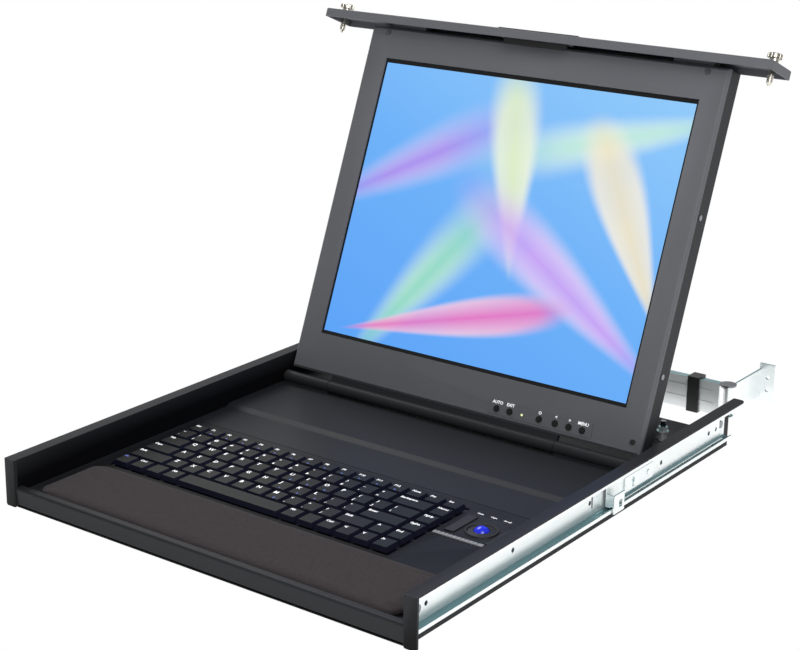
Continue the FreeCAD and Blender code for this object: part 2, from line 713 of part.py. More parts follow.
def make_pointer():
    """Trackball, its ring and cup, the two mouse buttons, their board and the ribbed strip."""
    ball = doc.addObject("Part::Sphere", "ball")
    bind(ball, Radius=ball_radius)
    node("trackball", place(ball, ball_x, ball_y, ball_z))
    body = new_body("ring")
    sketch = sketch_in(body, "XZ_Plane")
    inner = ball_radius - gap * 2
    draw(sketch, [(ball_radius + gap, 0.0), (ring_radius - ring_bead - gap, 0.0),
                  (ring_radius - ring_bead - gap, sheet_wall), (ring_radius, sheet_wall),
                  (ring_radius - ring_bead / 3, sheet_wall + ring_rise),
                  (ring_radius - ring_bead, sheet_wall + ring_rise),
                  (ring_radius - ring_bead * 1.6, sheet_wall), (inner, sheet_wall + ring_rise * 0.8)])
    turned = body.newObject("PartDesign::Revolution", "ring_turned")
    turned.Profile = sketch
    turned.ReferenceAxis = (sketch, ["V_Axis"])
    turned.Angle = 360
    node("trackball_ring", place(body, ball_x, ball_y, plate_low))
    cup_radius = ball_radius + cup_wall
    cup = rod("cup_block", cup_radius, ball_z - sheet_wall + 1.0, (ball_x, ball_y, sheet_wall))
    room = doc.addObject("Part::Sphere", "cup_room")
    bind(room, Radius=ball_radius + gap)
    place(room, ball_x, ball_y, ball_z)
    node("trackball_cup", cut("cup_cut", cup, [room]))
    for name, centre, back in click_places():
        top = deck_height + click_rise
        node(name, box(name, (centre - click_width / 2, centre + click_width / 2),
                       (back - click_depth / 2, back + click_depth / 2), (top - click_body, top)))
    click_board = deck_height + click_rise - click_body - 1.4
    board = box("click_board", (ball_x - board_reach, ball_x + board_reach),
                (ball_y - board_front, ball_y + board_back),
                (click_board - board_thick, click_board))
    hole = rod("board_hole", cup_radius + gap, 6.0, (ball_x, ball_y, click_board - 4))
    lamps = [rod(f"lamp_{n + 1}", lamp_radius, deck_height + 0.4 - click_board,
                 (ball_x - lamp_shift + n * lamp_pitch, ball_y + lamp_back, click_board)) for n in (-1, 0, 1)]
    posts = [rod(f"click_post_{n}", 2.5, click_board - board_thick - sheet_wall,
                 (ball_x + n * board_post_reach, ball_y - board_post_front, sheet_wall)) for n in (-1, 1)]
    node("pointer_board", fuse("board_fused", [cut("board_cut", board, [hole])] + lamps + posts))
    left = ball_x - lamp_shift - rib_strip_length / 2
    front = ball_y - rib_strip_front
    strip = box("strip", (left, left + rib_strip_length), (front, front + rib_strip_depth),
                (deck_height, deck_height + rib_strip_rise))
    count = int((rib_strip_length.value - 2) // rib_pitch.value)
    grooves = [box(f"groove_{n}", (left + 2 + n * rib_pitch, left + 3 + n * rib_pitch),
                   (front - 1, front + rib_strip_depth + 1),
                   (deck_height + rib_strip_rise * 0.5, deck_height + rib_strip_rise + 1))
               for n in range(count)]
    node("ribbed_strip", cut("strip_cut", strip, grooves))


def make_palm_rest():
    """Soft pad in front of the keys, rounded at its corners and upper edges."""
    body = new_body("palm")
    pad(body, "XY_Plane", [rectangle(-palm_width / 2, palm_width / 2, 0.0, palm_depth)], palm_height)
    dress(body, "Fillet", palm_corner, lambda edge: runs_along(edge, "z"))
    dress(body, "Fillet", palm_round, lambda edge: edge.BoundBox.ZMin > palm_height.value - 0.01)
    node("palm_rest", place(body, 0.0, palm_start, deck_height))


# ---------------------------------------------------------------- hinge
def make_hinge():
    """Fixed hinge covers at both ends, the lid's own barrel between them, and the pins."""
    covers = []
    pins = []
    ends = (("left", -barrel_reach, barrel_left - gap * 2, barrel_left + pin_hold - pin_length),
            ("right", barrel_right + gap * 2, barrel_reach, barrel_right - pin_hold))
    for side, start, stop, pin_start in ends:
        tube = rod(f"cover_tube_{side}", barrel_radius, stop - start, (start, hinge_y, hinge_z), "x")
        foot = box(f"cover_foot_{side}", (start, stop), (hinge_y - foot_depth / 2, hinge_y + foot_depth / 2),
                   (plateau_top, hinge_z - barrel_radius / 2))
        bore = rod(f"cover_bore_{side}", pin_radius + fit, pin_length + gap * 2,
                   (pin_start - gap, hinge_y, hinge_z), "x")
        covers.append(cut(f"cover_cut_{side}", fuse(f"cover_fused_{side}", [tube, foot]), [bore]))
        pins.append(rod(f"pin_{side}", pin_radius, pin_length, (pin_start, 0.0, 0.0), "x"))
    node("hinge_covers", group("covers", covers))
    node("hinge_pins", group("pins", pins), lid=True)
    barrel = rod("barrel", barrel_radius - 0.2, barrel_right - barrel_left, (barrel_left, 0.0, 0.0), "x")
    neck = box("neck", (barrel_left, barrel_right), (edge_y, -barrel_radius / 2), (-1.0, 3.6))
    bores = [rod("pin_seat_left", pin_radius + fit / 2, pin_hold + 1, (barrel_left - 1, 0.0, 0.0), "x"),
             rod("pin_seat_right", pin_radius + fit / 2, pin_hold + 1,
                 (barrel_right - pin_hold, 0.0, 0.0), "x")]
    node("lid_barrel", cut("barrel_cut", fuse("barrel_fused", [barrel, neck]), bores), lid=True)


# ---------------------------------------------------------------- lid
def screen_box(name, lap, z):
    """A box over the screen opening and a lap all round."""
    middle = opening_shift
    near = edge_y - chin
    return box(name, (middle - opening_width / 2 - lap, middle + opening_width / 2 + lap),
               (near - opening_height - lap, near + lap), z)


def osd_xs():
    """Places of the six buttons across the lid, the lamp being the third of seven."""
    steps = (9.4, 23.5, 54.9, 71.8, 86.1, 100.0)
    return [osd_left + step for step in steps]


def make_lid():
    """Bezel, back cover, glass, LCD module, its board, screws and bumper."""
    body = new_body("bezel")
    outline = rectangle(-lid_half, lid_half, rim_y, edge_y)
    pad(body, "XY_Plane", [outline], bezel_depth)
    dress(body, "Chamfer", bezel_chamfer, lambda edge: edge.BoundBox.ZMax < 0.01)
    inside = rectangle(-lid_half + bezel_rim, lid_half - bezel_rim, rim_y + bezel_rim, edge_y - bezel_rim)
    place(body, 0.0, 0.0, face_z)
    room = box("bezel_room", (-lid_half + bezel_rim, lid_half - bezel_rim),
               (rim_y + bezel_rim, edge_y - bezel_rim), (face_z + bezel_wall, face_z + bezel_depth + 1))
    opening = screen_box("screen_opening", Size(0.0), (face_z - 1, face_z + bezel_wall + 1))
    holes = [rod(f"bezel_hole_{n}", osd_button + gap, 4.0, (x, edge_y - osd_line, face_z - 1))
             for n, x in enumerate(osd_xs())]
    lamp = rod("bezel_lamp_hole", lamp_radius + 0.1, 4.0, (osd_left + osd_lamp, edge_y - osd_line, face_z - 1))
    node("lid_bezel", cut("bezel_cut", body, [room, opening, lamp] + holes), lid=True)

    seam = face_z + bezel_depth
    shell = box("back_block", (-lid_half, lid_half), (rim_y, edge_y), (seam, back_z))
    hollow = box("back_hollow", (-lid_half + sheet_wall, lid_half - sheet_wall),
                 (rim_y + sheet_wall, edge_y - sheet_wall), (seam - 1, back_z - sheet_wall))
    node("lid_back", cut("back_cut", shell, [hollow]), lid=True)

    glass_z = face_z + bezel_wall
    module_z = glass_z + glass_thick
    node("screen_glass", screen_box("glass", glass_lap, (glass_z, module_z)), lid=True)
    node("lcd_module", screen_box("module", module_lap, (module_z, module_z + module_thick)), lid=True)
    board_z = module_z + module_thick
    middle = edge_y - chin - opening_height / 2
    node("lid_board", box("lid_board", (-lid_board_side / 2, lid_board_side / 2),
                          (middle - lid_board_side / 3, middle + lid_board_side / 3),
                          (board_z, board_z + board_thick)), lid=True)
    screws = []
    for side in (-1, 1):
        screws.append(rod(f"face_screw_{side + 1}", lid_screw_radius, lid_screw_rise,
                          (side * (lid_half - lid_screw_inset), rim_y + lid_screw_end,
                           face_z - lid_screw_rise)))
        for n in (0, 1):
            start = lid_half if side > 0 else -lid_half - lid_screw_rise
            screws.append(rod(f"side_screw_{side + 1}_{n}", lid_screw_radius, lid_screw_rise,
                              (start, edge_y - side_screw_first - side_screw_pitch * n,
                               face_z + side_screw_high), "x"))
    node("lid_screws", group("lid_screw_set", screws), lid=True)
    node("lid_bumper", rod("bumper", bumper_radius, bumper_rise,
                           (lid_half - bumper_inset, edge_y - bumper_line, face_z - bumper_rise)), lid=True)


def make_osd():
    """Label plate, board with the lamp, and six push buttons on the lid's chin."""
    low = edge_y - osd_start - osd_height
    front = face_z - osd_thick
    plate = box("osd_block", (osd_left, osd_left + osd_width), (low, low + osd_height), (front, face_z))
    holes = [rod(f"osd_hole_{n}", osd_button + gap, 3.0, (x, edge_y - osd_line, front - 1))
             for n, x in enumerate(osd_xs())]
    lamp_x = osd_left + osd_lamp
    holes.append(rod("osd_lamp_hole", lamp_radius + 0.1, 3.0, (lamp_x, edge_y - osd_line, front - 1)))
    node("osd_plate", cut("osd_cut", plate, holes), lid=True)
    inner_end_z = face_z + bezel_wall + 1.9
    board_z = inner_end_z + osd_travel + 0.1
    for n, x in enumerate(osd_xs()):
        start = front - osd_button_rise
        name = f"osd_button_{n + 1}"
        node(name, rod(name, osd_button, inner_end_z - start, (x, edge_y - osd_line, start)), lid=True)
    board = box("osd_board_block", (osd_left + 2, osd_left + osd_width - 2), (low + 1, edge_y - bezel_rim),
                (board_z, board_z + board_thick))
    lamp = rod("osd_lamp", lamp_radius, board_z - front + 0.2, (lamp_x, edge_y - osd_line, front - 0.2))
    node("osd_board", fuse("osd_board_fused", [board, lamp]), lid=True)


def make_front_panel():
    """Front panel: a shallow pan across the rack, with the rack screws and the release grip."""
    body = new_body("panel")
    pad(body, "XZ_Plane", [rectangle(-panel_width / 2, panel_width / 2, panel_low, panel_low + panel_height)],
        panel_rim, backwards=True)
    dress(body, "Fillet", panel_corner, lambda edge: runs_along(edge, "y"))
    dress(body, "Chamfer", 0.6, lambda edge: edge.BoundBox.YMax < 0.01)
    place(body, 0.0, panel_y, 0.0)
    edge = panel_wall
    room = box("panel_room", (-panel_width / 2 + edge, panel_width / 2 - edge), (panel_y + edge, rim_y + 1),
               (panel_low + edge, panel_low + panel_height - edge))
    grip_left = grip_shift - grip_width / 2
    grip_right = grip_left + grip_width
    grip_low = panel_low + panel_wall + gap * 2
    grip_high = grip_low + grip_tall
    notch = box("grip_notch", (grip_left - gap, grip_right + gap), (panel_y - 1, panel_y + edge + 1),
                (grip_low - gap, grip_high + grip_travel + gap))
    holes = [rod(f"stud_hole_{side + 1}", stud_hole, panel_wall + 2, (side * screw_x, panel_y - 1, panel_middle),
                 "y") for side in (-1, 1)]
    bosses = [box(f"panel_boss_{side + 1}", (side * lid_half * 0.8 - 20, side * lid_half * 0.8 + 20),
                  (panel_y + edge, rim_y), (4.0, 14.0)) for side in (-1, 1)]
    catch_left = grip_shift - catch_width / 2
    catch_low = panel_low + panel_wall + gap
    guides = [box(f"catch_guide_{name}", (left, left + 3.0), (panel_y + edge, rim_y),
                  (panel_low + edge, catch_low + catch_thick + 3))
              for name, left in (("a", catch_left - gap - 3), ("b", catch_left + catch_width + gap))]
    shell = cut("panel_cut", fuse("panel_fused", [cut("panel_shell", body, [room])] + bosses + guides),
                [notch] + holes)
    node("front_panel", shell, lid=True)
    block = box("grip_block", (grip_left, grip_right), (panel_y - grip_stand, panel_y + edge), (grip_low, grip_high))
    scoop = box("grip_scoop", (grip_left + 4, grip_right - 4), (panel_y - grip_stand - 1, panel_y),
                (grip_low + 2, grip_high - 2))
    node("release_grip", cut("grip_cut", block, [scoop]), lid=True)
    bolt = new_body("catch")
    slope = catch_reach * 0.6
    pad(bolt, "XY_Plane", [[(-catch_width / 2, 0.0), (catch_width / 2, 0.0),
                            (catch_width / 2, panel_rim - panel_wall - gap - slope / 2),
                            (catch_width / 2 - slope, panel_rim - panel_wall - gap),
                            (-catch_width / 2 + slope, panel_rim - panel_wall - gap),
                            (-catch_width / 2, panel_rim - panel_wall - gap - slope / 2)]], catch_thick)
    place(bolt, grip_shift, panel_y + panel_wall + gap + catch_reach, catch_low)
    node("lid_catch", bolt, lid=True)


def make_thumbscrews():
    """Captive rack screws: bullet-ended stud, neck and fluted knob, turned about Y."""
    for side, name in ((-1, "thumbscrew_left"), (1, "thumbscrew_right")):
        body = new_body(name)
        sketch = sketch_in(body, "XY_Plane")
        tip = panel_rim + stud_reach
        draw(sketch, [(0.0, -neck_length - knob_length), (knob_radius - 0.8, -neck_length - knob_length),
                      (knob_radius, 0.8 - neck_length - knob_length), (knob_radius, -neck_length - 0.6),
                      (knob_radius - 0.8, -neck_length), (neck_radius, -neck_length),
                      (neck_radius, -gap), (stud_hole - 0.1, -gap), (stud_hole - 0.1, panel_wall + 1),
                      (stud_radius, panel_wall + 1), (stud_radius, tip - stud_tip),
                      (stud_radius / 3, tip), (0.0, tip)])
        turned = body.newObject("PartDesign::Revolution", name + "_turned")
        turned.Profile = sketch
        turned.ReferenceAxis = (sketch, ["V_Axis"])
        turned.Angle = 360
        pocket(body, "XZ_Plane", [], neck_length + knob_length + 1,
               backwards=True, circles=[(knob_radius + flute_radius * 0.35, 0.0, flute_radius)])
        flute = body.Tip
        ring = body.newObject("PartDesign::PolarPattern", name + "_flutes")
        ring.Originals = [flute]
        ring.Axis = (sketch, ["V_Axis"])
        ring.Angle = 360
        bind(ring, Occurrences=knob_flutes)
        body.Tip = ring
        node(name, place(body, side * screw_x, panel_y, panel_middle), lid=True)


# ---------------------------------------------------------------- slides
def make_slides():
    """Slide members on both sides: the long one on the tray, the short one nested in it."""
    body = new_body("rail")
    top = rail_bottom + rail_height
    out = rail_x + rail_width
    thin = rail_wall
    outline = [(rail_x, rail_bottom), (out, rail_bottom), (out, rail_bottom + rail_lip),
               (out - thin, rail_bottom + rail_lip), (out - thin, rail_bottom + thin),
               (rail_x + thin, rail_bottom + thin), (rail_x + thin, top - thin), (out - thin, top - thin),
               (out - thin, top - rail_lip), (out, top - rail_lip), (out, top), (rail_x, top)]
    pad(body, "XZ_Plane", [outline], rail_end - cap_depth - gap, backwards=True)
    near = (rail_x + thin).value
    dress(body, "Fillet", rail_round, lambda edge: runs_along(edge, "y")
          and abs(edge.CenterOfMass.x - near) < 0.05)
    place(body, 0.0, cap_depth + gap, 0.0)
    span = rail_wall + 2
    holes = [rod(f"rail_hole_{n}", rail_hole, span, (rail_x - 1, y, rail_middle), "x")
             for n, y in enumerate([rail_first_hole + rail_hole_pitch * n for n in range(4)]
                                   + [rail_pair, rail_pair + rail_pair_pitch])]
    slot = box("rail_slot", (rail_x - 1, rail_x + span), (rail_slot, rail_slot + rail_slot_width),
               (rail_middle - rail_slot_height / 2, rail_middle + rail_slot_height / 2))
    right = node("slide_rail_right", cut("rail_cut", body, holes + [slot]))
    node("slide_rail_left", mirrored("rail_left", right))
    heads = [rod(f"rail_screw_{n}", rail_screw_radius, rail_screw_head, (rail_x + thin, y, rail_middle), "x")
             for n, y in enumerate((rail_screw_front, rail_screw_rear))]
    right_heads = group("rail_heads", heads)
    node("rail_screws", group("rail_head_set", [right_heads, mirrored("rail_heads_left", right_heads)]))

    right = node("inner_slide_right", make_inner_slide())
    node("inner_slide_left", mirrored("inner_left", right))
    cages = []
    cage_y = inner_start + 25
    for name, low, high in (("low", rail_bottom + rail_wall + 0.2, inner_bottom - 0.1),
                            ("high", inner_bottom + inner_height + 0.1, top - rail_wall - 0.2)):
        cages.append(box(f"cage_{name}", (inner_x + 0.4, inner_x + 0.4 + cage_width),
                         (cage_y, cage_y + cage_length), (low, high)))
    right_cage = group("cages_right", cages)
    node("ball_cages", group("cage_set", [right_cage, mirrored("cages_left", right_cage)]))
    right = node("release_lever_right", make_lever())
    node("release_lever_left", mirrored("lever_left", right))


def make_inner_slide():
    """Short nested channel with its stop bracket and the rivet of the release lever."""
    body = new_body("inner")
    thin = rail_wall
    top = inner_bottom + inner_height
    out = inner_x + inner_width
    outline = [(inner_x, inner_bottom), (out, inner_bottom), (out, inner_bottom + thin),
               (inner_x + thin, inner_bottom + thin), (inner_x + thin, top - thin), (out, top - thin),
               (out, top), (inner_x, top)]
    pad(body, "XZ_Plane", [outline], inner_end - inner_start, backwards=True)
    place(body, 0.0, inner_start, 0.0)
    face = inner_x + thin
    front = box("stop_front", (face - thin, stop_reach), (inner_start, inner_start + thin),
                (inner_bottom + thin, stop_high))
    side = box("stop_side", (stop_reach - thin, stop_reach), (inner_start, inner_start + stop_length),
               (stop_low, stop_high))
    window = box("stop_window", (stop_reach - thin - 1, stop_reach + 1),
                 (inner_start + stop_length / 2, inner_start + stop_length / 2 + stop_window),
                 (stop_low + 4, stop_high - 6))
    rivet = rod("lever_rivet", lever_rivet, lever_thick + 0.6 + fit,
                (face, lever_start + lever_length - 8, rail_middle), "x")
    holes = [rod(f"inner_hole_{n}", rail_hole, 4.0, (inner_x - 1, y, rail_middle), "x")
             for n, y in enumerate((rail_first_hole + rail_hole_pitch * 3, rail_pair,
                                    rail_pair + rail_pair_pitch))]
    whole = fuse("inner_fused", [body, front, cut("stop_cut", side, [window]), rivet])
    return cut("inner_cut", whole, holes)


def make_lever():
    """Release lever: a flat plate with a keyhole, turning on a rivet."""
    low = rail_middle - lever_height / 2
    start = inner_x + rail_wall + fit
    x = (start, start + lever_thick)
    plate = box("lever_plate", x, (lever_start, lever_start + lever_length), (low, low + lever_height))
    hole_y = lever_start + 14
    tools = [rod("keyhole", keyhole_radius, lever_thick + 2, (start - 1, hole_y, rail_middle + 1), "x"),
             box("key_slot", (start - 1, start + lever_thick + 1), (hole_y - 1.2, hole_y + 1.2),
                 (rail_middle - 5, rail_middle + 1)),
             rod("lever_eye", lever_rivet + fit, lever_thick + 2,
                 (start - 1, lever_start + lever_length - 8, rail_middle), "x")]
    return cut("lever_cut", plate, tools)


# ---------------------------------------------------------------- cable arm
def make_cable_arm():
    """Folding cable arm: post and nut, two bars, their pins, the clips and the rack bracket."""
    post = rod("post", post_radius, post_height, (post_x, post_y, plateau_top))
    node("pivot_post", post)
    nut_z = arm_bottom + hub_height + gap
    flange = rod("nut_flange", nut_radius, 1.2, (post_x, post_y, nut_z))
    body = new_body("nut")
    pad(body, "XY_Plane", [hexagon(nut_radius * 0.84)], nut_height)
    place(body, post_x, post_y, nut_z)
    bore = rod("nut_bore", post_radius + 0.02, nut_height + 2, (post_x, post_y, nut_z - 1))
    node("pivot_nut", cut("nut_cut", fuse("nut_fused", [body, flange]), [bore]))

    length, angle = span_of(post_x, post_y, elbow_x, elbow_y)
    blades = []
    for label, start, high in (("strip", 0.0, arm_bottom + hub_height), ("blade", front_bar_neck.value,
                                                                       front_bar_high)):
        bar = doc.addObject("Part::Box", f"front_bar_{label}")
        bind(bar, Width=bar_thick, Height=high - arm_bottom)
        bar.Length = length - start
        turn = FreeCAD.Rotation(Vector(0, 0, 1), angle)
        shift = turn.multVec(Vector(start, -bar_thick.value / 2, 0))
        bar.Placement = FreeCAD.Placement(Vector(), turn)
        blades.append(place(bar, post_x + shift.x, post_y + shift.y, arm_bottom))
    hubs = [rod("front_hub", sleeve_radius, hub_height, (post_x, post_y, arm_bottom)),
            rod("elbow_hub", sleeve_radius, hub_high - hub_low, (elbow_x, elbow_y, hub_low))]
    eyes = [rod(f"front_eye_{n}", post_radius + fit, hub_high - hub_low + 2, (x, y, hub_low - 1))
            for n, (x, y) in enumerate(((post_x, post_y), (elbow_x, elbow_y)))]
    node("arm_front_bar", cut("front_bar_cut", fuse("front_bar_fused", blades + hubs), eyes))

    node("arm_rear_bar", make_rear_bar())
    low, high = rear_bar_low, rear_bar_high
    pins = [rod("elbow_pin", post_radius, high - low + 2, (elbow_x, elbow_y, low - 1)),
            rod("wrist_pin", post_radius, high - low + 2, (wrist_x, elbow_y, low - 1))]
    heads = [rod("wrist_head", rivet_radius, rivet_thick, (wrist_x, elbow_y, high)),
             rod("elbow_head", rivet_radius * 0.8, rivet_thick, (elbow_x, elbow_y, high))]
    node("arm_pins", group("pin_set", [fuse("wrist_pin_fused", [pins[1], heads[0]]),
                                       fuse("elbow_pin_fused", [pins[0], heads[1]])]))
    clips = []
    for n in range(3):
        x = wrist_x - clip_in - n * clip_pitch
        span = (x - clip_width / 2, x + clip_width / 2)
        front = elbow_y - bar_thick / 2 - bar_rib - 0.1 - clip_wall
        outer = box(f"clip_{n}", span, (front, front + clip_depth),
                    (rear_bar_low - clip_wall - 0.1, rear_bar_high + clip_wall + 0.1))
        inner = box(f"clip_room_{n}", (x - clip_width, x + clip_width),
                    (front + clip_wall, front + clip_depth - clip_wall),
                    (rear_bar_low - 0.1, rear_bar_high + 0.1))
        clips.append(cut(f"clip_cut_{n}", outer, [inner]))
    node("cable_clips", group("clip_set", clips))
    node("rack_bracket", make_bracket())


def hexagon(radius):
    """Six corners of a nut about the origin."""
    half, tall = radius * 0.5, radius * 0.866
    return [(radius, 0.0), (half, tall), (-half, tall), (-radius, 0.0), (-half, -tall), (half, -tall)]


def span_of(x0, y0, x1, y1):
    """Length and turn of the line from one place to another."""
    step = Vector(x1.value - x0.value, y1.value - y0.value, 0)
    angle = FreeCAD.Rotation(Vector(1, 0, 0), step)
    return step.Length, angle.Angle * 57.29577951308232 * (1 if angle.Axis.z > 0 else -1)


def make_rear_bar():
    """Channel bar behind the tray, with a pair of lugs at each end round the hubs."""
    body = new_body("rear_bar")
    half = bar_thick / 2
    fold = rear_bar_fold
    low, high = rear_bar_low, rear_bar_high
    outline = [(-half, low), (fold, low), (fold, low + bar_thick), (half, low + bar_thick),
               (half, high - bar_thick), (fold, high - bar_thick), (fold, high), (-half, high)]
    middle = (low + high) / 2
    start = elbow_x + lug_radius + 2
    stop = wrist_x - lug_radius - 2
    pad(body, "YZ_Plane", [outline], stop - start)
    place(body, start, elbow_y, 0.0)
    pieces = [body]
    pieces += [box(f"bar_rib_{n}", (start + 6, stop - 6), (elbow_y - half - bar_rib, elbow_y - half),
                   (middle + n * bar_rib_tall * 2 - bar_rib_tall / 2, middle + n * bar_rib_tall * 2 + bar_rib_tall / 2))
               for n in (-1, 1)]
    eyes = []
    for name, x, toward in (("elbow", elbow_x, start + 4), ("wrist", wrist_x, stop - 4)):
        for level, z in (("low", low), ("high", high - lug_thick)):
            pieces.append(rod(f"{name}_lug_{level}", lug_radius, lug_thick, (x, elbow_y, z)))
            span = (x, toward) if name == "elbow" else (toward, x)
            pieces.append(box(f"{name}_strap_{level}", span, (elbow_y - half, elbow_y + fold), (z, z + lug_thick)))
        eyes.append(rod(f"{name}_eye", post_radius + 0.02, high - low + 10, (x, elbow_y, low - 5)))
    return cut("rear_bar_cut", fuse("rear_bar_fused", pieces), eyes)


def make_bracket():
    """Rack bracket: hub on the wrist pin, a flat arm and an end flange with two holes."""
    half = bar_thick / 2
    end = elbow_y + bracket_reach
    hub = rod("bracket_hub", sleeve_radius, hub_high - hub_low, (wrist_x, elbow_y, hub_low))
    arm = box("bracket_arm", (wrist_x - half, wrist_x + half), (elbow_y, end), (hub_low, hub_high))
    flange = box("bracket_flange", (wrist_x - half, wrist_x - half + bracket_flange), (end - bar_thick, end),
                 (rear_bar_low - bracket_tall, rear_bar_high + bracket_tall))
    middle = (rear_bar_low + rear_bar_high) / 2
    tools = [rod(f"bracket_hole_{n}", bracket_hole, bar_thick + 2,
                 (wrist_x - half + bracket_flange / 2 + 1, end - bar_thick - 1,
                  middle + (n - 0.5) * bracket_hole_pitch), "y") for n in (0, 1)]
    tools.append(rod("bracket_eye", post_radius + fit, hub_high - hub_low + 2, (wrist_x, elbow_y, hub_low - 1)))
    return cut("bracket_cut", fuse("bracket_fused", [hub, arm, flange]), tools)


def socket_places():
    """Name, centre and width of the sockets in the rear wall."""
    return (("port", port_x, port_width), ("jack", jack_x, jack_width))


def make_electronics():
    """Main board on its posts, with the sockets that reach through the rear wall."""
    low = board_top - board_thick
    pieces = [box("board_sheet", (-main_board_width / 2, main_board_width / 2),
                  (deck_end - board_gap - main_board_depth, deck_end - board_gap), (low, board_top))]
    for name, x, width in socket_places():
        shell = box(f"{name}_shell", (x - width / 2 + 0.1, x + width / 2 - 0.1),
                    (deck_end - port_depth, deck_end + port_proud), (board_top, board_top + port_height - 0.1))
        mouth = box(f"{name}_mouth", (x - width / 2 + 1.5, x + width / 2 - 1.5),
                    (deck_end - 2, deck_end + port_proud + 1), (board_top + 1, board_top + port_height - 1))
        pieces.append(cut(f"{name}_cut", shell, [mouth]))
    node("main_board", fuse("main_board_fused", pieces))


# ---------------------------------------------------------------- build and write
for make in (make_tray, make_caps, make_lip, make_deck, make_keyboard_plate, make_keys, make_pointer,
             make_palm_rest, make_hinge, make_lid, make_osd, make_front_panel, make_thumbscrews,
             make_slides, make_cable_arm, make_electronics):
    make()
doc.recompute()
faults = [obj.Name for obj in doc.Objects if "Invalid" in obj.State or "Error" in obj.State]
for name, obj in parts.items():
    if obj.Shape.isNull() or not obj.Shape.isValid() or not obj.Shape.Solids:
        faults.append(name)
if faults:
    raise ValueError("failed: " + ", ".join(faults))
os.makedirs("parts", exist_ok=True)
for name, obj in parts.items():
    obj.Shape.exportStep(f"parts/{name}.step")
print(f"wrote {len(parts)} nodes")
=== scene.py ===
"""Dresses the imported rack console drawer: finishes, key legends, palm rest, screen and fine hardware.

All lengths are in metres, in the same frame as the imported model, unless a comment says millimetres.
"""
import json
import logging
import math
from dataclasses import dataclass, field
from enum import Enum
from typing import Optional, Sequence

import bmesh
import bpy
from mathutils import Matrix, Vector

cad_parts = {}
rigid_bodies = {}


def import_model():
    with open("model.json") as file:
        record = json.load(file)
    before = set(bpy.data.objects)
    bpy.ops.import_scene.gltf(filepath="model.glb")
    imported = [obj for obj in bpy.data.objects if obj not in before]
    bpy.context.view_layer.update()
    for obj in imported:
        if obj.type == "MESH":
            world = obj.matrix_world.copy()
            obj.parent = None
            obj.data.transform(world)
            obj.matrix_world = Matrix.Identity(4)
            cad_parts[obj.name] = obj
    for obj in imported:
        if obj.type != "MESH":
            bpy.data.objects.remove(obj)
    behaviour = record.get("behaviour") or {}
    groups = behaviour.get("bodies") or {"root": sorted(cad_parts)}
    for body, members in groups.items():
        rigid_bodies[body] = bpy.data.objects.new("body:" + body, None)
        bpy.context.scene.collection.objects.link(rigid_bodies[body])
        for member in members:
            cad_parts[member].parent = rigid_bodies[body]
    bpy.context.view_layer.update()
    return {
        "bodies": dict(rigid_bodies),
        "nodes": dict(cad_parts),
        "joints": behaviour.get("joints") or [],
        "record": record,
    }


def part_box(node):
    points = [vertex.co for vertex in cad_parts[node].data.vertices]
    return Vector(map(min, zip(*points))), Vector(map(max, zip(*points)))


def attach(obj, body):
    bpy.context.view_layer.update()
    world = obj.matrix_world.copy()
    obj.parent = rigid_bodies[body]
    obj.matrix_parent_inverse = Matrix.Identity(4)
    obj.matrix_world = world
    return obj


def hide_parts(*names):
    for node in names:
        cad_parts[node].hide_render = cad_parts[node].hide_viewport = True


LOG = logging.getLogger("console_drawer")
MM = 0.001
WHITE = (1.0, 1.0, 1.0, 1.0)
# Length of one wave of the Wave texture at scale one.
WAVE = 0.314


class Finish(Enum):
    """The named finishes of the drawer."""

    BLACK_STEEL = "black_steel"
    LID_PAINT = "lid_paint"
    PULL = "pull_plastic"
    KEYS = "keys"
    KEY_BASE = "key_base"
    CLOTH = "pad_cloth"
    BALL = "ball_gloss"
    POINTER = "pointer_plastic"
    STRIP = "strip_metal"
    BOARD = "circuit_board"
    PIN = "pin_steel"
    ZINC = "zinc_steel"
    NICKEL = "nickel"
    SCREEN = "screen"
    MODULE = "module_metal"
    FILM = "label_film"
    BUTTON = "button_plastic"
    RUBBER = "bumper_rubber"
    NYLON = "clip_nylon"


# ------------------------------------------------------------------ small helpers
def linear(code: str) -> tuple[float, float, float, float]:
    """Turn a hex sRGB colour into linear RGBA.

    Args:
        code: six hex digits.

    Returns:
        Linear red, green, blue and an alpha of one.
    """
    values = [int(code[i:i + 2], 16) / 255 for i in (0, 2, 4)]
    bent = [v / 12.92 if v <= 0.04045 else ((v + 0.055) / 1.055) ** 2.4 for v in values]
    return bent[0], bent[1], bent[2], 1.0


def new_object(name: str, data: bpy.types.ID) -> bpy.types.Object:
    """Add an object to the scene.

    Args:
        name: the object's name.
        data: its mesh, curve, lamp or camera.

    Returns:
        The object, at the origin.
    """
    obj = bpy.data.objects.new(name, data)
    bpy.context.scene.collection.objects.link(obj)
    return obj


def plain_mesh(obj: bpy.types.Object) -> bpy.types.Mesh:
    """Return a new mesh of the object with its modifiers applied."""
    graph = bpy.context.evaluated_depsgraph_get()
    return bpy.data.meshes.new_from_object(obj.evaluated_get(graph))


def settle(work: bmesh.types.BMesh, name: str) -> bpy.types.Mesh:
    """Turn finished mesh work into a mesh and free the work.

    Args:
        work: the faces.
        name: the mesh's name.

    Returns:
        The mesh.
    """
    mesh = bpy.data.meshes.new(name)
    work.to_mesh(mesh)
    work.free()
    return mesh


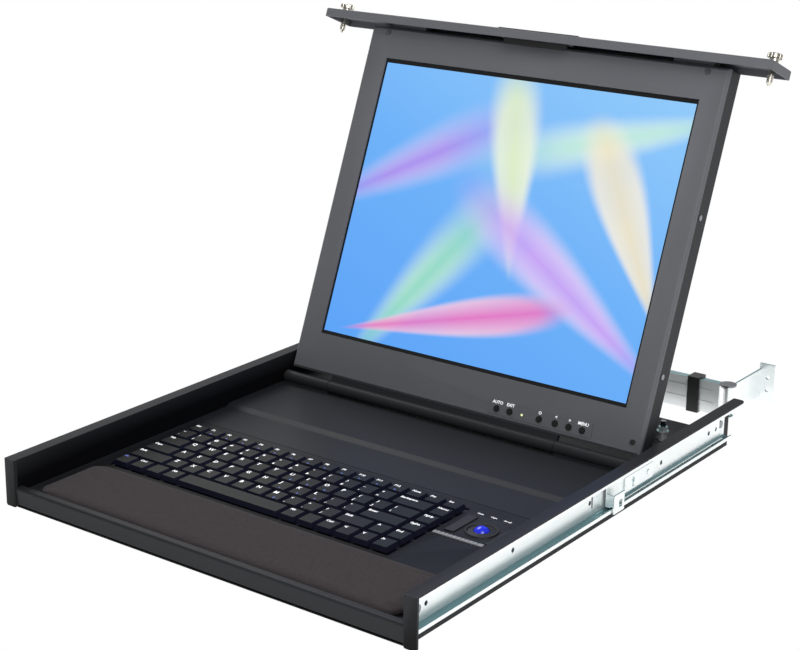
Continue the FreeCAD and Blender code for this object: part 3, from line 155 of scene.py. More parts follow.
class Nodes:
    """A node tree being built, with one call that adds a node, its settings and its links."""

    def __init__(self, tree: bpy.types.NodeTree, prefix: str = "ShaderNode") -> None:
        """Start on an emptied tree.

        Args:
            tree: the tree to fill.
            prefix: what the type names of its nodes begin with.
        """
        self.tree = tree
        self.prefix = prefix
        tree.nodes.clear()

    def add(self, kind: str, *values: object, out: Optional[str] = None,
            **named: object) -> Optional[bpy.types.NodeSocket]:
        """Add a node with its settings and links.

        Args:
            kind: the node's type, without the tree's prefix unless it has another one.
            *values: what its live inputs get, from the first: a value or another node's output.
            out: name of the output that is wanted; without it, the first live one.
            **named: a setting of the node, such as operation, or an input, with _ for a space.

        Returns:
            The wanted output, or None for a node that has none.
        """
        node = self.tree.nodes.new(kind if "Node" in kind else self.prefix + kind)
        settings = [key for key in named if hasattr(node, key)]
        for key in settings:
            setattr(node, key, named.pop(key))
        live = [socket for socket in node.inputs if socket.enabled]
        given = list(zip(live, values))
        given += [(node.inputs[key.replace("_", " ")], value) for key, value in named.items()]
        for socket, value in given:
            if isinstance(value, bpy.types.NodeSocket):
                self.tree.links.new(value, socket)
            else:
                socket.default_value = value
        for socket in node.outputs:
            if socket.enabled and out in (None, socket.name):
                return socket
        return None


class Shader(Nodes):
    """A material's node tree, with the patterns that several finishes share."""

    def __init__(self, name: str) -> None:
        """Start an empty material.

        Args:
            name: the material's name.
        """
        self.material = bpy.data.materials.new(name)
        self.material.use_nodes = True
        super().__init__(self.material.node_tree)

    def mottle(self, size: float, detail: float = 2.0,
               stretch: tuple[float, float, float] = (1.0, 1.0, 1.0)) -> bpy.types.NodeSocket:
        """Lay blotches about size metres across, on Object coordinates.

        Args:
            size: width of a blotch.
            detail: octaves.
            stretch: scale of each axis before the noise.

        Returns:
            The pattern's value.
        """
        turned = self.add("Mapping", Vector=self.add("TexCoord", out="Object"), Scale=stretch)
        return self.add("TexNoise", Vector=turned, Scale=1 / size, Detail=detail)

    def upright(self, start: float, end: float, both: bool = False) -> bpy.types.NodeSocket:
        """Tell faces that look up or down from faces that stand.

        Args:
            start: height of the normal where the share starts to rise from zero.
            end: height of the normal where it reaches one.
            both: whether faces that look down count too.

        Returns:
            The share, from zero to one.
        """
        up = self.add("SeparateXYZ", self.add("TexCoord", out="Normal"), out="Z")
        if both:
            up = self.add("Math", up, operation="ABSOLUTE")
        return self.add("MapRange", Value=up, From_Min=start, From_Max=end)

    def shade(self, pattern: bpy.types.NodeSocket, share: float, first: Sequence[float],
              second: Sequence[float]) -> bpy.types.NodeSocket:
        """Vary a colour with a pattern.

        Args:
            pattern: value from zero to one.
            share: how far the pattern reaches towards the second colour.
            first: linear colour where the pattern is zero.
            second: linear colour that it goes to.

        Returns:
            The colour.
        """
        factor = self.add("Math", pattern, share, operation="MULTIPLY")
        return self.add("Mix", factor, first, second, data_type="RGBA")

    def vary(self, pattern: bpy.types.NodeSocket, middle: float, spread: float) -> bpy.types.NodeSocket:
        """Swing a value by spread round its middle, with a pattern, and return it."""
        return self.add("Math", pattern, spread, middle - spread / 2, operation="MULTIPLY_ADD")


# ------------------------------------------------------------------ finishes
class Recipe:
    """A finish, which its own class describes by its skin."""

    def skin(self, shader: Shader) -> bpy.types.NodeSocket:
        """Build the finish's surface.

        Args:
            shader: receives the nodes.

        Returns:
            The surface.
        """
        raise NotImplementedError

    def build(self, name: str) -> bpy.types.Material:
        """Make the finish as a material.

        Args:
            name: the material's name.

        Returns:
            The material.
        """
        shader = Shader(name)
        shader.add("OutputMaterial", self.skin(shader))
        return shader.material


@dataclass(frozen=True)
class PowderCoat(Recipe):
    """Polyester powder coat, sprayed on folded steel and baked.

    It is satin, with a tight orange-peel grain and a faint cloudiness, and a little paler where a
    corner gets rubbed.
    """

    colour: str
    light: str
    roughness: float = 0.5
    shine: float = 0.2
    grain: float = 0.7 * MM
    relief: float = 0.03 * MM
    cloud: float = 60 * MM
    worn: str = "4a4c50"
    corner: tuple[float, float] = (0.53, 0.62)
    rub: float = 0.35

    def skin(self, shader: Shader) -> bpy.types.NodeSocket:
        """Build the coat's surface.

        Args:
            shader: receives the nodes.

        Returns:
            The surface.
        """
        peel = shader.mottle(self.grain, 3)
        tint = shader.shade(shader.mottle(self.cloud, 3), 0.45, linear(self.colour), linear(self.light))
        rubbed = shader.add("MapRange", Value=shader.add("NewGeometry", out="Pointiness"),
                            From_Min=self.corner[0], From_Max=self.corner[1], To_Max=self.rub)
        colour = shader.add("Mix", rubbed, tint, linear(self.worn), data_type="RGBA")
        return shader.add("BsdfPrincipled", Base_Color=colour, Specular_IOR_Level=self.shine,
                          Roughness=shader.vary(peel, self.roughness, 0.16),
                          Normal=shader.add("Bump", Height=peel, Distance=self.relief))


@dataclass(frozen=True)
class Moulded(Recipe):
    """Injection-moulded plastic from a spark-eroded mould: an even, fine texture and a slow fade.

    The texture is drawn coarser than such a mould gives it, so that it shows.
    """

    colour: str
    roughness: float = 0.45
    grain: float = 0.35 * MM
    relief: float = 0.012 * MM
    coat: float = 0.0
    fade: float = 25 * MM

    def skin(self, shader: Shader) -> bpy.types.NodeSocket:
        """Build the plastic's surface.

        Args:
            shader: receives the nodes.

        Returns:
            The surface.
        """
        wide = shader.mottle(self.fade)
        base = linear(self.colour)
        pale = tuple(min(1.0, v * 1.35 + 0.003) for v in base[:3]) + (1.0,)
        bump = shader.add("Bump", Height=shader.mottle(self.grain), Distance=self.relief)
        return shader.add("BsdfPrincipled", Base_Color=shader.shade(wide, 0.5, base, pale),
                          Roughness=shader.vary(wide, self.roughness, 0.12), Coat_Weight=self.coat,
                          Coat_Roughness=0.05, Normal=bump)


@dataclass(frozen=True)
class KeyCap(Recipe):
    """Moulded ABS key cap with painted light: charcoal on top, where light falls, and a darker deep navy
    down the sides as painted shade.
    """

    top: str = "0d0e10"
    side: str = "080b20"
    roughness: float = 0.47
    grain: float = 0.3 * MM
    relief: float = 0.01 * MM
    shine: float = 0.18

    def skin(self, shader: Shader) -> bpy.types.NodeSocket:
        """Build the cap's surface.

        Args:
            shader: receives the nodes.

        Returns:
            The surface.
        """
        grain = shader.mottle(self.grain)
        # Painted light: faces that look up get the lighter top colour, and standing faces the darker side
        # colour as painted shade.
        colour = shader.add("Mix", shader.upright(0.6, 0.95), linear(self.side), linear(self.top),
                            data_type="RGBA")
        return shader.add("BsdfPrincipled", Base_Color=colour, Specular_IOR_Level=self.shine,
                          Roughness=shader.vary(grain, self.roughness, 0.1),
                          Normal=shader.add("Bump", Height=grain, Distance=self.relief))


@dataclass(frozen=True)
class PlatedSteel(Recipe):
    """Cold-rolled steel, zinc or nickel plated.

    It has rolling marks along one axis and a faint passivation tint. Faces that look up or down can be
    painted bluer: a painted reflection.
    """

    colour: str
    tint: str
    roughness: float = 0.25
    stretch: tuple[float, float, float] = (1.0, 0.04, 1.0)
    race: Optional[str] = None
    metal: float = 1.0
    mark: float = 0.6 * MM
    relief: float = 0.004 * MM
    cloud: float = 30 * MM

    def skin(self, shader: Shader) -> bpy.types.NodeSocket:
        """Build the plating's surface.

        Args:
            shader: receives the nodes.

        Returns:
            The surface.
        """
        streak = shader.mottle(self.mark, 3, self.stretch)
        colour = shader.shade(shader.mottle(self.cloud, 4), 0.6, linear(self.colour), linear(self.tint))
        # Faces that look up or down are painted in the given colour: a painted reflection.
        if self.race:
            colour = shader.add("Mix", shader.upright(0.1, 0.5, both=True), colour, linear(self.race),
                                data_type="RGBA")
        return shader.add("BsdfPrincipled", Base_Color=colour, Metallic=self.metal,
                          Roughness=shader.vary(streak, self.roughness, 0.1),
                          Normal=shader.add("Bump", Height=streak, Distance=self.relief, Strength=0.4))


@dataclass(frozen=True)
class Knit(Recipe):
    """Tight knitted polyester over foam: fine loops, a soft sheen and slight fading.

    The loops are drawn a little wider than such cloth has them, so that they show. Their raised parts are
    painted paler: a painted highlight.
    """

    colour: str
    pale: str
    loop: float = 0.9 * MM
    depth: float = 0.2 * MM
    fuzz: float = 0.3 * MM
    fade: float = 1.6 * MM

    def skin(self, shader: Shader) -> bpy.types.NodeSocket:
        """Build the cloth's surface.

        Args:
            shader: receives the nodes.

        Returns:
            The surface.
        """
        space = shader.add("TexCoord", out="Object")
        warp, weft = (shader.add("TexWave", Vector=space, Scale=WAVE / self.loop, Distortion=1.5,
                                 Detail_Scale=4.0, bands_direction=axis, out="Fac") for axis in "XY")
        loops = shader.add("Math", warp, weft, operation="MULTIPLY")
        fuzz = shader.add("Math", shader.mottle(self.fuzz, 3), 0.7, operation="MULTIPLY")
        height = shader.add("Math", loops, fuzz, operation="ADD")
        faded = shader.add("Math", shader.mottle(self.fade, 4), 0.5, operation="MULTIPLY")
        # Paler where the loops stand high: a painted highlight.
        painted_highlight = shader.add("Math", loops, 0.35, operation="MULTIPLY")
        share = shader.add("Math", faded, painted_highlight, operation="ADD")
        colour = shader.add("Mix", share, linear(self.colour), linear(self.pale), data_type="RGBA")
        return shader.add("BsdfPrincipled", Base_Color=colour, Roughness=0.95, Sheen_Weight=0.08,
                          Sheen_Roughness=0.5, Specular_IOR_Level=0.1,
                          Normal=shader.add("Bump", Height=height, Distance=self.depth))


@dataclass(frozen=True)
class Board(Recipe):
    """Etched glass-fibre circuit board under green solder mask, with fine copper tracks.

    What stands above a given height is the bright steel shell of a socket.
    """

    mask: str = "0f3d22"
    track: str = "1d6b3c"
    shell: str = "b8babd"
    pitch: float = 6.25 * MM
    shells_above: Optional[float] = None

    def skin(self, shader: Shader) -> bpy.types.NodeSocket:
        """Build the board's surface.

        Args:
            shader: receives the nodes.

        Returns:
            The surface.
        """
        space = shader.add("TexCoord", out="Object")
        cells = shader.add("TexBrick", Vector=space, Scale=1 / self.pitch, Color1=WHITE,
                           Color2=(0.6, 0.6, 0.6, 1.0), Mortar=(0.0, 0.0, 0.0, 1.0))
        colour = shader.add("Mix", cells, linear(self.mask), linear(self.track), data_type="RGBA")
        board = shader.add("BsdfPrincipled", Base_Color=colour, Roughness=0.35)
        if self.shells_above is None:
            return board
        height = shader.add("SeparateXYZ", space, out="Z")
        high = shader.add("Math", height, self.shells_above, operation="GREATER_THAN")
        steel = shader.add("BsdfPrincipled", Base_Color=linear(self.shell), Metallic=1.0, Roughness=0.32)
        return shader.add("MixShader", high, board, steel)


@dataclass(frozen=True)
class Paint(Recipe):
    """Screen-printed ink, or a small moulded lens that may be lit: flat and matt. Glow on ink is painted
    light: the print shines brighter than the lamps light it.
    """

    colour: str
    glow: float = 0.0
    grain: float = 2 * MM

    def skin(self, shader: Shader) -> bpy.types.NodeSocket:
        """Build the paint's surface.

        Args:
            shader: receives the nodes.

        Returns:
            The surface.
        """
        full = linear(self.colour)
        thin = tuple(v * 0.85 for v in full[:3]) + (1.0,)
        colour = shader.add("Mix", shader.mottle(self.grain), full, thin, data_type="RGBA")
        # On the inks this emission is painted light: the print glows though it is no lamp.
        return shader.add("BsdfPrincipled", Base_Color=colour, Roughness=0.55, Emission_Color=colour,
                          Emission_Strength=self.glow)


@dataclass(frozen=True)
class Petal:
    """One soft coloured leaf of the screen's picture, placed in the picture's own unit square."""

    place: tuple[float, float]
    turn: float
    size: tuple[float, float]
    colour: str
    edge: float = 0.35


@dataclass(frozen=True)
class LitPicture(Recipe):
    """A lit display behind satin glass, with a generic picture: soft leaves over a blue sky."""

    petals: tuple[Petal, ...]
    sky: tuple[str, str, str] = ("58a4fb", "6ab2fc", "90ccfe")
    glow: float = 0.95
    haze: float = 60 * MM
    rim: tuple[float, float, float, float] = (0.9, 0.95, 1.0, 1.0)

    def skin(self, shader: Shader) -> bpy.types.NodeSocket:
        """Build the picture's surface, on its own UV map.

        Args:
            shader: receives the nodes.

        Returns:
            The surface.
        """
        space = shader.add("UVMap", uv_map="picture")
        across, up, _ = shader.add("SeparateXYZ", space).node.outputs
        slope = shader.add("Math", shader.add("Math", across, 0.35, operation="MULTIPLY"),
                           shader.add("Math", up, 0.65, operation="MULTIPLY"), operation="ADD")
        colour = shader.add("ValToRGB", slope)
        stops = colour.node.color_ramp.elements
        stops[0].color, stops[1].color = linear(self.sky[0]), linear(self.sky[2])
        stops.new(0.5).color = linear(self.sky[1])
        haze = shader.mottle(self.haze)
        for petal in self.petals:
            colour = self.lay(shader, petal, space, haze, colour)
        return shader.add("BsdfPrincipled", Base_Color=(0.01, 0.01, 0.012, 1.0), Roughness=0.32,
                          Emission_Color=colour, Emission_Strength=self.glow)

    def lay(self, shader: Shader, petal: Petal, space: bpy.types.NodeSocket, haze: bpy.types.NodeSocket,
            under: bpy.types.NodeSocket) -> bpy.types.NodeSocket:
        """Lay one leaf over the picture so far.

        Args:
            shader: receives the nodes.
            petal: the leaf.
            space: the picture's coordinates.
            haze: pattern that thins the leaf.
            under: colour of the picture so far.

        Returns:
            The colour with the leaf.
        """
        moved = shader.add("Mapping", Vector=space, Location=(*petal.place, 0.0),
                           Rotation=(0.0, 0.0, math.radians(petal.turn)), Scale=(*petal.size, 1.0),
                           vector_type="TEXTURE")
        along, wide, _ = shader.add("SeparateXYZ", moved).node.outputs
        # The leaf tapers to a point at its near end.
        taper = shader.add("Math", shader.add("Math", along, 0.5, operation="MULTIPLY"), 0.62,
                           operation="ADD")
        taper = shader.add("Math", taper, 0.05, operation="MAXIMUM")
        broad = shader.add("Math", wide, taper, operation="DIVIDE")
        broad, along = (shader.add("Math", value, operation="ABSOLUTE") for value in (broad, along))
        squares = [shader.add("Math", value, 2.0, operation="POWER") for value in (along, broad)]
        reach = shader.add("Math", shader.add("Math", *squares, operation="ADD"), operation="SQRT")
        mask = shader.add("MapRange", Value=reach, From_Min=1.0, From_Max=1.0 - petal.edge,
                          interpolation_type="SMOOTHSTEP")
        thin = shader.add("Math", haze, 0.3, 0.7, operation="MULTIPLY_ADD")
        cover = shader.add("Math", mask, thin, operation="MULTIPLY")
        over = shader.shade(broad, 0.75, linear(petal.colour), self.rim)
        return shader.add("Mix", cover, under, over, data_type="RGBA")


PICTURE = LitPicture((
    Petal((0.18, 0.66), 35, (0.50, 0.17), "b48cf0", 0.9),
    Petal((0.30, 0.26), 60, (0.52, 0.16), "9be3c0", 0.8),
    Petal((0.78, 0.84), 200, (0.50, 0.15), "c8f2dc", 0.85),
    Petal((0.50, 0.70), 100, (0.42, 0.13), "eaf6c0", 0.5),
    Petal((0.72, 0.34), 142, (0.52, 0.17), "d0a4f8", 0.6),
    Petal((0.88, 0.58), 115, (0.40, 0.13), "f6e9c4", 0.4),
    Petal((0.42, 0.14), 18, (0.40, 0.11), "f070c0", 0.35),
))

FINISHES = {
    # Black powder on the folded tray: deep and quiet, with soft light along its folds.
    Finish.BLACK_STEEL: PowderCoat("0c0c0d", "101014", 0.46, shine=0.1),
    # Charcoal powder on the lid: matt, so that it stays even from side to side.
    Finish.LID_PAINT: PowderCoat("6a6b70", "787a7f", 0.58, shine=0.2),
    # Black ABS of the pull: satin.
    Finish.PULL: Moulded("0c0c0d", 0.5),
    Finish.KEYS: KeyCap(),
    # Deep navy ABS under the keys, which sinks into shade between them.
    Finish.KEY_BASE: Moulded("070a1c", 0.5),
    Finish.CLOTH: Knit("272325", "554e50"),
    # Polished resin of the ball: a wet blue gloss.
    Finish.BALL: Moulded("1b2df0", 0.22, coat=0.15, relief=0.0),
    # Black ABS round the ball: matt, so that the ball stands out.
    Finish.POINTER: Moulded("07080d", 0.6),
    # Silver paint on the ribbed strip: even grey, without a metal's glint.
    Finish.STRIP: Moulded("8a8b8d", 0.5),
    Finish.BOARD: Board(),
    # Dull plating on turned pins: grey, without sparkle.
    Finish.PIN: PlatedSteel("8b8e92", "6e7175", 0.3),
    # Bright zinc on rolled slides. It is part metallic, because the film over it scatters light. Its faces
    # that look up or down are painted teal: a painted reflection.
    Finish.ZINC: PlatedSteel("fafcfc", "e2ecec", 0.32, (1.0, 0.02, 1.0), "84aab0", 0.7),
    # Bright nickel on turned screws and balls: warm, with small sharp glints.
    Finish.NICKEL: PlatedSteel("d8d4c8", "b6b2a8", 0.2, (1.0, 1.0, 1.0)),
    Finish.SCREEN: PICTURE,
    # Zinc-plated can of the display, out of sight behind it.
    Finish.MODULE: PlatedSteel("c8cacc", "a9acb0", 0.35),
    # Printed polycarbonate film over the buttons' plate: matt, near the lid's colour.
    Finish.FILM: Moulded("5c5d62", 0.55, relief=0.004 * MM),
    # Polished black ABS: a clean highlight on each button.
    Finish.BUTTON: Moulded("0a0a0c", 0.28),
    # Soft rubber: black, with no highlight.
    Finish.RUBBER: Moulded("1c1c1d", 0.75),
    # Moulded nylon of the cable clips: satin black.
    Finish.NYLON: Moulded("08090a", 0.4),
}


# ------------------------------------------------------------------ pieces
def islands(obj: bpy.types.Object) -> list[tuple[Vector, Vector]]:
    """Box round each separate solid of a node, in order from left to right.

    Args:
        obj: a mesh object.

    Returns:
        Lowest and highest corner of each.
    """
    work = bmesh.new()
    work.from_mesh(obj.data)
    bmesh.ops.remove_doubles(work, verts=work.verts, dist=1e-6)
    seen: set[int] = set()
    boxes = []
    work.verts.ensure_lookup_table()
    for start in work.verts:
        if start.index in seen:
            continue
        stack, held = [start], []
        seen.add(start.index)
        while stack:
            vert = stack.pop()
            held.append(vert.co.copy())
            for link in vert.link_edges:
                other = link.other_vert(vert)
                if other.index not in seen:
                    seen.add(other.index)
                    stack.append(other)
        low = Vector(min(v[i] for v in held) for i in range(3))
        high = Vector(max(v[i] for v in held) for i in range(3))
        boxes.append((low, high))
    work.free()
    return sorted(boxes, key=lambda pair: pair[0].x)


def add_piece(name: str, mesh: bpy.types.Mesh, body: str,
              material: bpy.types.Material) -> None:
    """Put a finished mesh in the scene on a body.

    Args:
        name: the piece's name.
        mesh: its mesh, already in place.
        body: the body that it rides on.
        material: what it shows.
    """
    obj = new_object(name, mesh)
    mesh.materials.clear()
    mesh.materials.append(material)
    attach(obj, body)
    LOG.info("piece %s on %s: %d faces", name, body, len(mesh.polygons))


class Lettering:
    """Flat generic legends, made from the built-in font and kept as plain faces."""

    def __init__(self) -> None:
        """Start with no letters made."""
        self.made: dict[str, tuple[list[Vector], list[tuple[int, ...]]]] = {}

    def outline(self, text: str) -> tuple[list[Vector], list[tuple[int, ...]]]:
        """Make the shape of a text one unit high, its lower left corner at the origin.

        Args:
            text: what it says.

        Returns:
            Its vertices and faces.
        """
        if text not in self.made:
            curve = bpy.data.curves.new("legend", "FONT")
            curve.body = text
            curve.size = 1.0
            curve.resolution_u = 2
            # Thickens the strokes.
            curve.offset = 0.026
            obj = new_object("legend", curve)
            mesh = plain_mesh(obj)
            verts = [v.co.copy() for v in mesh.vertices]
            faces = [tuple(p.vertices) for p in mesh.polygons]
            left = min((v.x for v in verts), default=0.0)
            self.made[text] = ([Vector((v.x - left, v.y, 0)) for v in verts], faces)
            bpy.data.objects.remove(obj)
            bpy.data.curves.remove(curve)
            bpy.data.meshes.remove(mesh)
        return self.made[text]

    def write(self, work: bmesh.types.BMesh, text: str, place: Matrix, size: float,
              centred: bool = False) -> None:
        """Add text to mesh work.

        Args:
            work: receives the faces.
            text: what it says.
            place: where the text's lower left corner goes and how it is turned.
            size: height of the font.
            centred: whether place is the middle of the text instead.
        """
        verts, faces = self.outline(text)
        shift = max((v.x for v in verts), default=0.0) / 2 if centred else 0.0
        made = [work.verts.new(place @ ((v - Vector((shift, 0, 0))) * size)) for v in verts]
        for face in faces:
            work.faces.new([made[i] for i in face])


@dataclass
class Keyboard:
    """Legends of the keys, one mesh for each row and ink so that they travel with the row.

    The sizes of letters are shares of the font's size. A key's top is drawn in from its foot by
    slope at the left and front and by rear_slope at the rear.
    """

    lettering: Lettering
    size: float = 6.0 * MM
    word_size: float = 0.7
    pair_size: float = 0.72
    second_size: float = 0.42
    digit_size: float = 0.6
    capital: float = 0.75
    slope: float = 2.2 * MM
    rear_slope: float = 1.0 * MM
    inset: float = 0.7 * MM
    front_inset: float = 0.9 * MM
    second_shift: float = 4.5 * MM
    digit_shift: float = 6.5 * MM
    lift: float = 0.03 * MM
    # Letters that double as the digits 0 to 6.
    digits: str = "MJKLUIO"
    legends: dict[str, tuple[str, ...]] = field(default_factory=lambda: {
        "function": ("Esc", "F1", "F2", "F3", "F4", "F5", "F6", "F7", "F8", "F9", "F10", "F11", "F12",
                     "Num", "Prt", "Ins"),
        "number": ("`", "1", "2", "3", "4", "5", "6", "7", "8", "9", "0", "-", "=", "Backspace", "Home"),
        "upper": ("Tab", "Q", "W", "E", "R", "T", "Y", "U", "I", "O", "P", "[", "]", "\\", "PgUp"),
        "home": ("Caps", "A", "S", "D", "F", "G", "H", "J", "K", "L", ";", "'", "Enter", "PgDn"),
        "lower": ("Shift", "Z", "X", "C", "V", "B", "N", "M", ",", ".", "/", "Shift", "^", "End"),
        "bottom": ("Fn", "Ctrl", "", "Alt", "Alt", "", "Ctrl", "<", "v", ">"),
    })
    shifted: dict[str, str] = field(default_factory=lambda: dict(
        zip("1234567890-=[];',./\\`", "!@#$%^&*()_+{}:\"<>?|~")))

    def build(self, frame: dict, ink: bpy.types.Material, blue: bpy.types.Material) -> None:
        """Write the legends on every row.

        Args:
            ink: white legend ink, whose glow is painted light.
            blue: blue ink of the second functions, whose faint glow is painted light.
        """
        for row, words in self.legends.items():
            first, second = bmesh.new(), bmesh.new()
            for (low, high), word in zip(islands(frame["nodes"][f"keys_{row}"]), words):
                if word:
                    self.mark(row, word, low, high, first, second)
            for work, name, material in ((first, f"legends_{row}", ink),
                                         (second, f"second_legends_{row}", blue)):
                if work.verts:
                    add_piece(name, settle(work, name), f"row_{row}", material)
                else:
                    work.free()

    def mark(self, row: str, word: str, low: Vector, high: Vector, first: bmesh.types.BMesh,
             second: bmesh.types.BMesh) -> None:
        """Write what one key says.

        Args:
            row: the key's row.
            word: its legend.
            low: lowest corner of its cap.
            high: highest corner of its cap.
            first: receives the white legends.
            second: receives the blue legends.
        """
        long = len(word) > 1
        size = self.size * (self.word_size if long else 1.0)
        left = low.x + self.slope + self.inset
        top = high.z + self.lift
        rear = high.y - self.rear_slope - self.inset - size * self.capital
        front = low.y + self.slope + self.front_inset
        if word in self.shifted:
            self.put(first, self.shifted[word], left, rear, top, self.size * self.pair_size)
            self.put(first, word, left, front, top, self.size * self.pair_size)
        else:
            self.put(second if word == "Fn" else first, word, left, rear, top, size)
        if row == "function" and long and word[0] == "F":
            self.put(second, "Fn", left + self.second_shift, front, top, self.size * self.second_size)
        elif word in self.digits:
            self.put(second, str(self.digits.index(word)), left + self.digit_shift, front, top,
                     self.size * self.digit_size)

    def put(self, work: bmesh.types.BMesh, text: str, left: float, low: float, top: float,
            size: float) -> None:
        """Write one legend flat on a key's top, from its lower left corner."""
        self.lettering.write(work, text, Matrix.Translation((left, low, top)), size)


@dataclass
class PalmRest:
    """Soft pad in front of the keys: foam in a knitted cover, glued down, with a crowned top.

    The cover is held below the height glued. From the first height of free it starts to leave its
    solid, and over the second one it comes free, by the length most at the most.
    """

    voxel: float = 2.4 * MM
    glued: float = 1.0 * MM
    free: tuple[float, float] = (0.5 * MM, 2 * MM)
    pressure: float = 4.0
    frames: int = 20
    most: float = 0.75 * MM

    def build(self, frame: dict, cloth: bpy.types.Material) -> None:
        """Args:
            cloth: material of the cover.
        """
        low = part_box("palm_rest")[0]
        mesh = frame["nodes"]["palm_rest"].data.copy()
        mesh.name = "palm_rest_pad"
        obj = new_object("palm_rest_pad", mesh)
        remesh = obj.modifiers.new("even", "REMESH")
        remesh.mode = "VOXEL"
        remesh.voxel_size = self.voxel
        self.freeze(obj)
        rest = [v.co.copy() for v in obj.data.vertices]
        held = obj.vertex_groups.new(name="held")
        held.add([n for n, co in enumerate(rest) if co.z < low[2] + self.glued], 1.0, "REPLACE")
        self.inflate(obj)
        # Near the tray the cover keeps to its solid, and it is free above.
        for vert, start in zip(obj.data.vertices, rest):
            step = vert.co - start
            if step.length > self.most:
                step *= self.most / step.length
            near = min(1.0, max(0.0, (start.z - low[2] - self.free[0]) / self.free[1]))
            vert.co = start + step * near
        obj.vertex_groups.clear()
        for face in obj.data.polygons:
            face.use_smooth = True
        smooth = obj.modifiers.new("soft", "SMOOTH")
        smooth.iterations = 3
        smooth.factor = 0.5
        self.freeze(obj)
        obj.data.materials.clear()
        obj.data.materials.append(cloth)
        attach(obj, "tray")
        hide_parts("palm_rest")
        LOG.info("piece %s: %d faces", obj.name, len(obj.data.polygons))

    def freeze(self, obj: bpy.types.Object) -> None:
        """Turn an object's modifiers into plain mesh.

        Args:
            obj: the object.
        """
        made = plain_mesh(obj)
        obj.modifiers.clear()
        obj.data = made

    def inflate(self, obj: bpy.types.Object) -> None:
        """Let cloth simulation fill the cover.

        Args:
            obj: the pad, with its glued vertices in the group called held.
        """
        sim = obj.modifiers.new("fill", "CLOTH")
        sim.settings.quality = 5
        sim.settings.mass = 0.3
        sim.settings.tension_stiffness = 40
        sim.settings.use_pressure = True
        sim.settings.uniform_pressure_force = self.pressure
        sim.settings.effector_weights.gravity = 0.0
        sim.settings.vertex_group_mass = "held"
        sim.point_cache.frame_start = 1
        sim.point_cache.frame_end = self.frames
        scene = bpy.context.scene
        for step in range(1, self.frames + 1):
            scene.frame_set(step)
        self.freeze(obj)
        scene.frame_set(1)


class LidSpace:
    """Turns places on the shut lid into places on the lid as it stands."""

    def __init__(self, frame: dict) -> None:
        """Read the hinge from the record.
        """
        joints = {joint["name"]: joint for joint in frame["record"]["behaviour"]["joints"]}
        hinge = joints["lid_hinge"]
        opened = Matrix.Rotation(-math.radians(hinge["range_deg"][1]), 4, "X")
        self.matrix = Matrix.Translation(Vector(hinge["pos_m"])) @ opened

    def at(self, x: float, y: float, z: float) -> Vector:
        """Place of a point given on the shut lid, from the hinge axis, in millimetres."""
        return self.matrix @ Vector((x * MM, y * MM, z * MM))

    def facing(self, x: float, y: float, z: float) -> Matrix:
        """Place that is turned to be read from the front of the lid.

        Args:
            x: place across the lid, in millimetres from the hinge axis, as are the next two.
            y: place along the lid.
            z: height over the lid.

        Returns:
            The place's matrix.
        """
        turn = self.matrix.to_3x3().to_4x4() @ Matrix.Rotation(math.pi, 4, "X")
        return Matrix.Translation(self.at(x, y, z)) @ turn


@dataclass
class Screen:
    """The lit picture on the glass, inside a black border, in millimetres from the hinge axis."""

    width: float = 337.9
    height: float = 270.3
    middle: float = 1.5
    near: float = -52.9
    face: float = -0.93

    def build(self, space: LidSpace, picture: bpy.types.Material) -> None:
        """Lay the picture on the glass.

        Args:
            space: the lid's own directions.
            picture: its material.
        """
        square = ((0, 0), (1, 0), (1, 1), (0, 1))
        left = self.middle - self.width / 2
        corners = [space.at(left + x * self.width, self.near - up * self.height, self.face)
                   for x, up in square]
        mesh = bpy.data.meshes.new("screen_picture")
        mesh.from_pydata(corners, [], [(0, 1, 2, 3)])
        layer = mesh.uv_layers.new(name="picture")
        for loop, uv in zip(layer.data, square):
            loop.uv = uv
        add_piece("screen_picture", mesh, "lid", picture)


